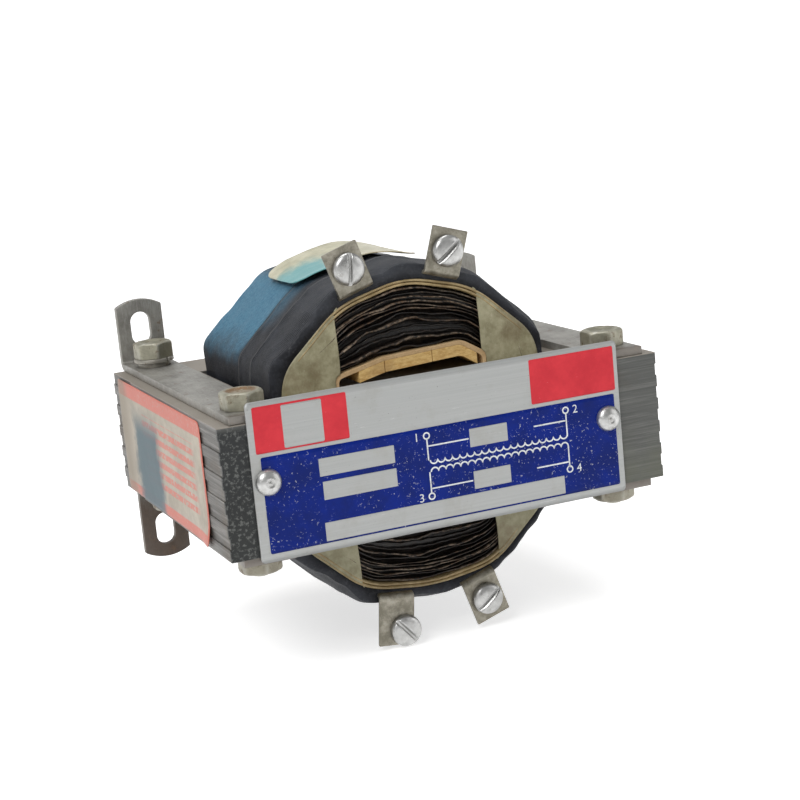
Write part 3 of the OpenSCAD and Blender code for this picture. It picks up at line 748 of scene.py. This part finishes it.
def end_paper(name, side, end, material, seed):
    """The paper over one side of the coil's end: a thin sheet that bows and waves, with a rough edge.

    One direction runs along rays from the former to the kraft wrap's outside, the other round the coil.
    """
    bare = abs(BARE_LEFT if side < 0 else BARE_RIGHT)
    rows, columns = 150, 34
    top = math.atan2(COIL_TOP - TAPE_SIDE - TAPE_PAD - 3.5, bare)
    low = math.atan2(COIL_BOTTOM + TAPE_SIDE + TAPE_PAD + 2.5, bare)
    angles = np.linspace(low, top, rows)
    if side < 0:
        angles = math.pi - angles
    outer = by_angle(coil_outline(TAPE_SIDE + 0.1), angles)
    inner = by_angle(former_outline(0), angles)
    edge = side * (bare + 0.35 * wobble(angles * 14, size=9, seed=seed))
    direction = np.stack([np.cos(angles), np.sin(angles)], -1)
    at_edge = direction * np.abs(edge / np.cos(angles))[:, None]
    inner = np.where((np.abs(inner[:, 0]) < np.abs(edge))[:, None], at_edge, inner)
    t = np.linspace(0, 1, columns)
    plan = inner[:, None] + (outer - inner)[:, None] * t[None, :, None]
    bow = 0.35 * wobble(plan[..., 0], plan[..., 1], size=26, seed=seed + 1)
    bow = bow + 0.10 * wobble(plan[..., 0], plan[..., 1], size=8, seed=seed + 2) - 0.2
    face = COIL_FRONT if end < 0 else COIL_REAR
    front = standing(plan, face - end * (0.25 - 0.5 * bow * (1 - t[None])))
    rear = front - np.array([0, end * 0.3, 0])
    node = f"end_paper_{'front' if end < 0 else 'rear'}_{'left' if side < 0 else 'right'}"
    return closed_sheet(name, front, rear, material, "kraft_paper", (node,))


# ---- Papers stuck on ----

def top_label(material):
    """The cream paper over the coil's crown: a strip along the outline with round corners.

    It lies a little forward at its right end. Its left end and its front edge lift off the tape, and it
    arches up towards its rear edge.
    """
    low, high = local("coil_top_label")
    outline = coil_outline(0.1, 1400)
    keep = outline[(outline[:, 1] > 20) & (outline[:, 0] > low[0] - 1.5) & (outline[:, 0] < high[0])]
    keep = keep[np.argsort(keep[:, 0])]
    rows, columns = 120, 30
    at = np.interp(np.linspace(0, 1, rows), np.linspace(0, 1, len(keep)), np.arange(len(keep)))
    line = np.stack([np.interp(at, np.arange(len(keep)), keep[:, k]) for k in (0, 1)], -1)
    run = np.linspace(0, 1, rows)
    pinch = corner_pinch(run, high[0] - low[0], 4.0)
    y_low, y_high = low[1] + pinch, high[1] - pinch
    v = np.linspace(0, 1, columns)
    y = y_low[:, None] + (y_high - y_low)[:, None] * v[None]
    y = y - 2.5 - 2.5 * run[:, None] * (1 - v[None])
    lift = 0.35 * np.exp(-(run[:, None] / 0.08) ** 2) + 0.25 * np.exp(-(v[None] / 0.1) ** 2)
    lift = lift + 0.12 * wobble(line[:, 0][:, None], y, size=14, seed=41) + 0.3
    lift = lift + 1.1 * v[None] ** 2 * np.sin(run[:, None] * math.pi) ** 0.5
    slope = np.gradient(line, axis=0)
    normal = np.stack([-slope[:, 1], slope[:, 0]], -1) / np.linalg.norm(slope, axis=1)[:, None]
    x = line[:, 0][:, None] + normal[:, 0][:, None] * lift
    z = line[:, 1][:, None] + normal[:, 1][:, None] * lift
    skin = np.stack([x, y, z], -1)
    under = skin - np.stack([normal[:, 0], 0 * run, normal[:, 1]], -1)[:, None] * 0.25
    return closed_sheet("coil_top_paper", skin, under, material, "top_label_paper", ("coil_top_label",))


def side_label(material):
    """The paper on the core's left side, with round corners and its front lower corner lifting."""
    low, high = local("side_label")
    rows, columns = 90, 40
    u, v = np.linspace(0, 1, rows), np.linspace(0, 1, columns)
    length, height = high[1] - low[1], high[2] - low[2]
    pinch = corner_pinch(u, length, 1.6)
    y = np.repeat((low[1] + u * length)[:, None], columns, 1)
    z = (low[2] + pinch)[:, None] + (height - 2 * pinch)[:, None] * v[None]
    curl_length, curl_height, curl = 6, 4, 0.9
    away = np.hypot((y - low[1]) / curl_length, (z - low[2]) / curl_height)
    lift = curl * np.exp(-away ** 2) + 0.10 * (1 + wobble(y, z, size=18, seed=61)) / 2 + 0.05
    skin = np.stack([-HALF_W - lift - 0.12, y, z], -1)
    under = skin + np.array([0.12, 0, 0])
    return closed_sheet("side_paper", skin, under, material, "side_label_paper", ("side_label",))


# ---- Nameplate ----

PLATE_LOW, PLATE_HIGH = local("nameplate")
PLATE_W, PLATE_H = PLATE_HIGH[0] - PLATE_LOW[0], PLATE_HIGH[2] - PLATE_LOW[2]
INK_LIFT, INK = 0.06, 0.05
BARE_LIFT, BARE = INK_LIFT + 0.03, 0.03
PRINT_LIFT = INK_LIFT + 0.05
STRIP_Z = PLATE_H * 0.655
MARGIN_LEFT, MARGIN_RIGHT, MARGIN_LOW, MARGIN_TOP = 2.4, 1.5, 1.9, 1.2
RED_LEFT, RED_RIGHT, RED_GAP = (1.5, 24.6), (72.0, PLATE_W - 1.0), 0.9


def on_plate(x, z, lift):
    """A point on the plate's gently waved face, from its lower left corner, lifted off it in mm."""
    wave = 0.10 * np.sin(x / PLATE_W * 5.0 + 0.6) + 0.05 * np.sin(z / PLATE_H * 4.0)
    return np.stack([PLATE_LOW[0] + x, PLATE_LOW[1] + 0.15 + wave - lift, PLATE_LOW[2] + z], -1)


def plate_sheet(name, x0, x1, z0, z1, lift, thick, material, corner=0.4, replaced=()):
    """A thin sheet on the nameplate with round corners, between two lengths and two heights."""
    rows, columns = 70, 24
    u = (1 - np.cos(np.linspace(0, math.pi, rows))) / 2
    v = np.linspace(0, 1, columns)
    pinch = corner_pinch(u, x1 - x0, corner)
    x = np.repeat((x0 + u * (x1 - x0))[:, None], columns, 1)
    z = (z0 + pinch)[:, None] + (z1 - z0 - 2 * pinch)[:, None] * v[None]
    skin, under = on_plate(x, z, lift), on_plate(x, z, lift - thick)
    return closed_sheet(name, skin, under, material, "plate_metal", replaced)


def ribbon(path, width, lift):
    """A flat line of print along a path on the plate: points to either side of it, and its faces."""
    path = np.asarray(path, float)
    slope = np.gradient(path, axis=0)
    side = np.stack([-slope[:, 1], slope[:, 0]], -1)
    side /= np.linalg.norm(side, axis=1)[:, None] + 1e-9
    left, right = path + side * width / 2, path - side * width / 2
    points = np.stack([on_plate(p[:, 0], p[:, 1], lift) for p in (left, right)], 1)
    return points.reshape(-1, 3), grid_faces(len(path), 2)


def print_lines(name, paths, width, lift, material):
    """All the lines of one print as one piece of flat ribbons."""
    points, faces = joined([ribbon(path, width, lift) for path in paths])
    return face_front(add_mesh(name, points, faces, material, "plate_metal", smooth=False))


def face_front(piece):
    """Turns a flat print so that its faces look out of the plate, towards -Y."""
    mesh = piece.data
    normals = np.zeros(len(mesh.polygons) * 3, np.float32)
    mesh.polygons.foreach_get("normal", normals)
    if normals[1::3].mean() > 0:
        mesh.flip_normals()
    return piece


def line(a, b, steps=12):
    """Points of a straight line."""
    t = np.linspace(0, 1, steps)[:, None]
    return np.array(a) * (1 - t) + np.array(b) * t


def scallops(x0, x1, z, turns, rise):
    """A row of round bumps: half circles side by side, above the line or below it."""
    t = np.linspace(0, turns, turns * 12 + 1)
    radius = (x1 - x0) / turns / 2
    centre = (np.minimum(np.floor(t), turns - 1) + 0.5) * 2 * radius
    angle = math.pi * (1 - (t - np.minimum(np.floor(t), turns - 1)))
    return np.stack([x0 + centre + radius * np.cos(angle), z + rise * np.sin(angle)], -1)


def ring(x, z, radius):
    """Points of a circle."""
    a = np.linspace(0, 2 * math.pi, 25)
    return np.stack([x + radius * np.cos(a), z + radius * np.sin(a)], -1)


def number(text, x, z, size, material):
    """One plain number of print, laid flat on the plate."""
    curve = bpy.data.curves.new(f"terminal_number_{text}", "FONT")
    curve.body, curve.size, curve.align_x, curve.align_y = text, size, "CENTER", "CENTER"
    source = bpy.data.objects.new(f"number_source_{text}", curve)
    bpy.context.scene.collection.objects.link(source)
    bpy.context.view_layer.update()
    mesh = bpy.data.meshes.new_from_object(source.evaluated_get(bpy.context.evaluated_depsgraph_get()))
    bpy.data.objects.remove(source)
    flat = np.zeros(len(mesh.vertices) * 3)
    mesh.vertices.foreach_get("co", flat)
    flat = flat.reshape(-1, 3)
    placed = on_plate(x + flat[:, 0], z + flat[:, 1], PRINT_LIFT)
    mesh.vertices.foreach_set("co", (placed * MM + CENTRE).ravel())
    mesh.update()
    mesh.materials.clear()
    mesh.materials.append(material)
    return face_front(ride_along(f"terminal_number_{text}", mesh))


def winding_diagram(material):
    """A plain diagram in print: two windings of 19 bumps back to back, with their leads and end rings.

    The leads run from the windings' ends to the two boxes of their own, and the ends carry 1 to 4.
    """
    left, right, start = 43.8, 80.9, 0.4
    high, low = 22.2, 8.9
    bend_top, bend_low = 16.95, 14.05
    lead_top, lead_low, lead_right = 20.4, 10.0, 72.0
    bumps, bump, ring_r = 19, 0.95, 0.75
    paths = [line((left, high), (left, bend_top)), line((right, bend_top), (right, high)),
             line((left, low), (left, bend_low)), line((right, bend_low), (right, low)),
             scallops(left + start, right, bend_top, bumps, -bump),
             scallops(left + start, right, bend_low, bumps, bump),
             line((left, lead_top), (54.6, lead_top)), line((lead_right, lead_top), (right, lead_top)),
             line((left, lead_low), (54.8, lead_low)), line((lead_right, lead_low), (right, lead_low))]
    for x in (left, right):
        paths += [ring(x, high + ring_r, ring_r), ring(x, low - ring_r, ring_r)]
    print_lines("plate_diagram", paths, 0.36, PRINT_LIFT, material)
    aside, up, down, size = 2.6, 0.6, 0.9, 2.9
    for text, x, z in (("1", left - aside, high + up), ("2", right + aside, high + up),
                       ("3", left - aside, low - down), ("4", right + aside, low - down)):
        number(text, x, z, size, material)


def nameplate():
    """The plate with red and blue fields, bare boxes, and a plain diagram of two windings."""
    metal = plate_metal()
    clean = bright_metal("plate_print", (0.62, 0.64, 0.66), (0.78, 0.80, 0.82), 0.5)
    blue = plate_ink("plate_blue", (0.001, 0.018, 0.24), (0.001, 0.012, 0.14), 0.10)
    red = plate_ink("plate_red", (0.76, 0.050, 0.066), (0.62, 0.035, 0.05), 0.02)
    plate_sheet("nameplate_blank", 0, PLATE_W, 0, PLATE_H, 0, PLATE_HIGH[1] - PLATE_LOW[1] - 0.3, metal,
                corner=1.0, replaced=("nameplate",))
    plate_sheet("plate_field_blue", MARGIN_LEFT, PLATE_W - MARGIN_RIGHT, MARGIN_LOW, STRIP_Z,
                INK_LIFT, INK, blue)
    low, top = STRIP_Z + RED_GAP, PLATE_H - MARGIN_TOP
    plate_sheet("plate_field_red_left", *RED_LEFT, low, top, INK_LIFT, INK, red)
    plate_sheet("plate_field_red_right", *RED_RIGHT, low, top, INK_LIFT, INK, red)
    plate_sheet("plate_bare_square", 8.5, 18.4, low + 0.4, top - 0.5, BARE_LIFT, BARE, metal)
    boxes = ((16.3, 35.3, 17.9, 22.2), (16.8, 35.4, 12.2, 16.6), (16.3, 79.2, 2.3, 6.8),
             (54.9, 64.9, 18.2, 22.7), (55.1, 64.9, 7.8, 12.2))
    for k, box in enumerate(boxes):
        plate_sheet(f"plate_box_{k + 1}", *box, BARE_LIFT, BARE, metal, corner=0.15)
    winding_diagram(clean)


# ---- Screws, bolts and nuts ----

BOLT_R, HEAD_H, PITCH, THREAD_DEPTH = 2.4, 4.3, 0.8, 0.16
CORNER_SHARE, ROUNDED_SHARE = 1.16, 1.135

def middle(node):
    """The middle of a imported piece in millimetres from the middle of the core."""
    low, high = local(node)
    return (low + high) / 2


def turned(profile, count=64, shape=None):
    """A turned solid about Z: each (radius, height) of the profile becomes a ring of points."""
    profile = np.asarray(profile, float)
    a = np.arange(count) / count * 2 * math.pi
    radius = np.repeat(profile[:, 0][:, None], count, 1)
    if shape is not None:
        radius = np.minimum(radius, shape(a)[None, :])
    height = np.repeat(profile[:, 1][:, None], count, 1)
    points = np.stack([radius * np.cos(a), radius * np.sin(a), height], -1)
    return points.reshape(-1, 3), grid_faces(len(profile), count, wrap_columns=True)


def hexagon(across):
    """Distance from the middle to a hexagon's side in each direction, with slightly rounded corners."""
    def shape(a):
        fold = (a + math.pi / 6) % (math.pi / 3) - math.pi / 6
        return np.minimum(across / 2 / np.cos(fold), across / 2 * ROUNDED_SHARE)
    return shape


def bolt(place, material, seed):
    """A clamp bolt: a hexagon head with a chamfered rim and a dished top, on a threaded shank."""
    node = f"bolt_{place}"
    low, high = local(node)
    across, top = high[0] - low[0], high[2]
    seat, big = top - HEAD_H, across / 2 * CORNER_SHARE
    head = [(BOLT_R, seat), (big * 0.93, seat), (big, seat + 0.25), (big, top - 0.85),
            (big * 0.97, top - 0.5), (big * 0.90, top - 0.2), (big * 0.80, top - 0.03), (big * 0.72, top),
            (big * 0.62, top - 0.12), (big * 0.50, top - 0.42), (big * 0.34, top - 0.55),
            (big * 0.12, top - 0.55), (0, top - 0.53)]
    points, faces = turned(head, 96, hexagon(across))
    dents = 0.05 * wobble(points[:, 0], points[:, 1], size=3, seed=seed)
    points[:, 2] += dents * (points[:, 2] > top - 0.6)
    z = np.arange(low[2], seat, 0.2)
    thread = BOLT_R - THREAD_DEPTH * (1 - np.cos((z - low[2]) / PITCH * 2 * math.pi))
    thread = np.where(z > -HALF_H - 8, BOLT_R, thread)
    stem = turned([(0, low[2]), (BOLT_R - 0.4, low[2]), *zip(thread, z + 0.2)], 32)
    points, faces = joined([(points, faces), stem])
    points = points + middle(node) * (1, 1, 0)
    return outward(add_mesh(f"clamp_bolt_{place}", points, faces, material, "zinc_hardware", (node,)))


def nut(place, material):
    """A hexagon nut with a chamfer at both faces."""
    node = f"nut_{place}"
    low, high = local(node)
    across, bore, z0, z1 = high[0] - low[0], BOLT_R + 0.05, low[2], high[2]
    big = across / 2 * CORNER_SHARE
    rim = [(bore, z0 + 0.3), (bore + 0.3, z0), (big * 0.82, z0), (big * 0.93, z0 + 0.25), (big, z0 + 0.7),
           (big, z1 - 0.5), (big * 0.94, z1 - 0.1), (big * 0.86, z1), (bore, z1), (bore, z0 + 0.3)]
    points, faces = turned(rim, 96, hexagon(across))
    points = points + middle(node) * (1, 1, 0)
    return outward(add_mesh(f"clamp_nut_{place}", points, faces, material, "zinc_hardware", (node,)))


def drive_screw(side, material):
    """A drive screw's dome with a rolled rim and a small ring mark at its middle."""
    node = f"drive_screw_{side}"
    low, high = local(node)
    radius = (high[0] - low[0]) / 2
    face = PLATE_LOW[1] + 0.1
    height = face - low[1]
    mark, shank = 1.0, 1.5
    a = np.linspace(0, math.pi / 2, 16)
    dome = np.stack([radius * np.cos(a), height * np.sin(a) ** 0.9 + 0.12], -1)
    dome = dome[dome[:, 0] > mark]
    rim = [(0, -3.0), (shank, -3.0), (shank, -0.2), (radius * 0.98, -0.2), (radius, 0.05), *dome,
           (0.95, height * 0.99), (0.8, height * 0.9), (0.45, height * 0.9), (0.3, height * 0.96),
           (0, height)]
    points, faces = turned(rim, 56)
    points = np.stack([points[:, 0], face - points[:, 2], points[:, 1]], -1) + middle(node) * (1, 0, 1)
    return outward(add_mesh(f"drive_screw_dome_{side}", points, faces, material, "bright_screw", (node,)))


def slotted_screw(place, turn, material):
    """A terminal screw's low dome with a straight slot, as a grid that folds into the slot.

    One direction runs along the slot, from rim to rim. The other runs across it, with a line of points
    at each lip and each foot of the slot's two walls. The grid is laid out flat, with the slot along its
    second axis and the dome's height as its third, and is then turned and stood on the lug's face.
    """
    node = f"terminal_screw_{place}"
    low, high = local(node)
    radius = (high[0] - low[0]) / 2
    face = local(f"terminal_lug_{place}")[0][1]
    height = face - low[1]
    half_slot, depth = 0.55, 1.15
    v = np.sin(np.linspace(-1, 1, 49) * math.pi / 2) * radius * 0.998
    side = np.sin(np.linspace(0, 1, 14) * math.pi / 2)
    chord = np.sqrt(radius ** 2 - v ** 2)
    lips = np.minimum(half_slot, chord * 0.96)
    right = lips[:, None] + (chord - lips)[:, None] * side[None]
    foot = lips[:, None] * 0.9
    u = np.concatenate([-right[:, ::-1], -foot, foot * 0, foot, right], 1)
    spread = np.clip((u ** 2 + v[:, None] ** 2) / radius ** 2, 0, 1)
    dome = height * (0.42 + 0.58 * np.sqrt(np.clip(1 - spread ** 1.6, 0, 1)))
    dome = np.where(np.abs(u) < lips[:, None] * 0.95, height - depth, dome)
    across = u * math.cos(turn) + v[:, None] * math.sin(turn)
    up = v[:, None] * math.cos(turn) - u * math.sin(turn)
    centre = middle(node) * (1, 0, 1)
    top, base = (np.stack([across, face - rise, up], -1) + centre for rise in (dome, 0 * dome - 0.05))
    return closed_sheet(f"slotted_screw_{place}", top, base, material, "bright_screw", (node,))


# ---- The whole object ----

def dress_core(steel):
    """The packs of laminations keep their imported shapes."""
    for node in ("core_e_laminations", "core_i_laminations"):
        give(node, steel)


def dress_coil():
    """Tape, layers, papers, former and wedge blocks, from the outside in."""
    tape = cloth_tape()
    for k, node in enumerate(BAND_NODES):
        tape_band(f"cloth_{node}", node, tape, 20 + 5 * k)
    layers = layer_paper()
    layer_rings("inner_layers", 0.02, 0.60, layers, ("inner_winding",), 500)
    layer_rings("outer_layers", 0.60, 0.985, layers, ("outer_winding",), 700)
    paper = kraft()
    kraft_rim(kraft("kraft_rim", (0.52, 0.40, 0.21), (0.28, 0.20, 0.09)))
    for side in (-1, 1):
        for end in (-1, 1):
            word = f"{'front' if end < 0 else 'rear'}_{'left' if side < 0 else 'right'}"
            end_paper(f"coil_paper_{word}", side, end, paper, 800 + 10 * side + end)
    softened("former_tube", "coil_former", pressboard(), 0.15)
    blocks = wood()
    softened("wood_blocks_top", "wedge_block_top", blocks, 0.25)
    softened("wood_blocks_bottom", "wedge_block_bottom", blocks, 0.25)
    top_label(top_paper())


def dress_brackets():
    """The four strip brackets with rounded edges."""
    strip = strip_zinc()
    for level in ("top", "bottom"):
        for side in ("left", "right"):
            softened(f"strip_{level}_{side}", f"bracket_{level}_{side}", strip, 0.25)


def dress_fixings():
    """Bolts, nuts and washers. The front left head has rust and painted shade in its dish."""
    x, y, _ = middle("bolt_front_left")
    dish = (x, y, local("bolt_front_left")[1][2])
    heads = zinc("bolt_zinc", (0.46, 0.44, 0.34), (0.26, 0.25, 0.19), 0.12, dish_rust_and_shade=dish)
    nuts = zinc("nut_zinc", (0.36, 0.34, 0.27), (0.22, 0.20, 0.15), 0.14, 0.9)
    washers = zinc("washer_zinc", (0.40, 0.38, 0.33), (0.22, 0.20, 0.17), 0.12, 1.7)
    for k, place in enumerate(("front_left", "front_right", "rear_left", "rear_right")):
        bolt(place, heads, 900 + k)
        nut(place, nuts)
    for side in ("left", "right"):
        softened(f"washer_{side}", f"flat_washer_rear_{side}", washers, 0.15)
        softened(f"split_ring_{side}", f"lock_washer_rear_{side}", washers, 0.2)


def dress_terminals():
    """The four lugs with their slotted screws, and the nameplate's two drive screws."""
    lug = bright_metal("tinned_lug", (0.20, 0.185, 0.145), (0.42, 0.395, 0.33), 0.36)
    head = bright_metal("bright_screw", (0.42, 0.42, 0.41), (0.62, 0.62, 0.61), 0.2)
    turns = {"top_left": 4, "top_right": 51, "bottom_left": -40, "bottom_right": 51}
    for place, turn in turns.items():
        softened(f"lug_{place}", f"terminal_lug_{place}", lug, 0.28, 3)
        slotted_screw(place, math.radians(turn), head)
    for side in ("left", "right"):
        drive_screw(side, head)


dress_core(core_steel())
dress_coil()
dress_brackets()
dress_fixings()
dress_terminals()
side_label(side_paper(*local("side_label")))
nameplate()


# ---- Studio ----

def backdrop():
    """A pale floor that curves up into a wall behind, seen as white by the camera."""
    low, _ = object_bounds()
    floor_z, reach = low.z - 0.0005, 3.0
    flat_to, bend = 0.9, 0.7
    run = np.linspace(-2.0, flat_to + bend, 60)
    rise = bend - np.sqrt(np.maximum(bend ** 2 - (run - flat_to) ** 2, 0))
    rise = np.where(run > flat_to, rise, 0)
    across = np.linspace(-reach, reach, 12)
    x, y = np.meshgrid(across, run, indexing="ij")
    z = np.repeat(rise[None], len(across), 0) + floor_z
    mesh = bpy.data.meshes.new("floor")
    mesh.from_pydata(np.stack([x, y, z], -1).reshape(-1, 3).tolist(), [],
                     grid_faces(len(across), len(run))[:, ::-1].tolist())
    mesh.shade_smooth()
    material = bpy.data.materials.new("floor_paper")
    material.use_nodes = True
    tree = material.node_tree
    shader = tree.nodes["Principled BSDF"]
    shader.inputs["Base Color"].default_value = (0.86, 0.86, 0.86, 1)
    shader.inputs["Roughness"].default_value = 0.9
    shader.inputs["Emission Color"].default_value = (1, 1, 1, 1)
    seen = tree.nodes.new("ShaderNodeLightPath")
    total = tree.nodes.new("ShaderNodeMath")
    total.operation, total.use_clamp = "ADD", True
    tree.links.new(seen.outputs["Is Camera Ray"], total.inputs[0])
    tree.links.new(seen.outputs["Is Glossy Ray"], total.inputs[1])
    glow = tree.nodes.new("ShaderNodeMath")
    glow.operation = "MULTIPLY"
    glow.inputs[1].default_value = 0.62
    tree.links.new(total.outputs[0], glow.inputs[0])
    tree.links.new(glow.outputs[0], shader.inputs["Emission Strength"])
    mesh.materials.append(material)
    floor = bpy.data.objects.new("floor", mesh)
    bpy.context.scene.collection.objects.link(floor)


def lamp(name, place, size, watts, aim):
    """A soft square lamp at a place in metres, turned to face a point."""
    light = bpy.data.lights.new(name, "AREA")
    light.shape, light.size, light.energy = "SQUARE", size, watts
    holder = bpy.data.objects.new(name, light)
    holder.location = place
    holder.rotation_euler = (Vector(aim) - Vector(place)).to_track_quat("-Z", "Y").to_euler()
    bpy.context.scene.collection.objects.link(holder)


def studio():
    """Soft lamps from the upper left, the right and above, and a pale world."""
    lamps = (("key", (-0.75, -0.75, 0.95), 0.6, 10.0), ("fill", (0.95, -0.60, 0.35), 0.7, 2.2),
             ("top", (0.05, 0.25, 1.10), 0.7, 5.0))
    for name, place, size, watts in lamps:
        lamp(name, place, size, watts, CENTRE)
    world = bpy.data.worlds.new("studio")
    bpy.context.scene.world = world
    world.use_nodes = True
    tree = world.node_tree
    background = tree.nodes["Background"]
    background.inputs["Color"].default_value = (1, 1, 1, 1)
    seen = tree.nodes.new("ShaderNodeLightPath")
    bright = tree.nodes.new("ShaderNodeMath")
    bright.operation, bright.use_clamp = "ADD", True
    tree.links.new(seen.outputs["Is Camera Ray"], bright.inputs[0])
    tree.links.new(seen.outputs["Is Transmission Ray"], bright.inputs[1])
    strength = tree.nodes.new("ShaderNodeMapRange")
    strength.inputs["To Min"].default_value = 0.34
    strength.inputs["To Max"].default_value = 1.0
    tree.links.new(bright.outputs[0], strength.inputs["Value"])
    tree.links.new(strength.outputs["Result"], background.inputs["Strength"])


def camera():
    """The camera in front of the nameplate, to its left and a little above, leaning by a few degrees."""
    data = bpy.data.cameras.new("camera")
    data.lens, data.sensor_width = 85.25, 36.0
    data.clip_start = 0.01
    holder = bpy.data.objects.new("camera", data)
    azimuth, elevation, roll = (math.radians(degrees) for degrees in (-21.66, 11.363, -5.555))
    from_centre = (-0.17324, -0.45387, 0.10301)
    place = Vector(CENTRE) + Vector(from_centre)
    look = Vector((-math.sin(azimuth) * math.cos(elevation), math.cos(azimuth) * math.cos(elevation),
                   -math.sin(elevation)))
    turn = look.to_track_quat("-Z", "Y").to_matrix() @ Matrix.Rotation(roll, 3, "Z")
    holder.matrix_world = Matrix.Translation(place) @ turn.to_4x4()
    bpy.context.scene.collection.objects.link(holder)
    bpy.context.scene.camera = holder


backdrop()
studio()
camera()
bpy.context.scene.view_settings.view_transform = "Standard"
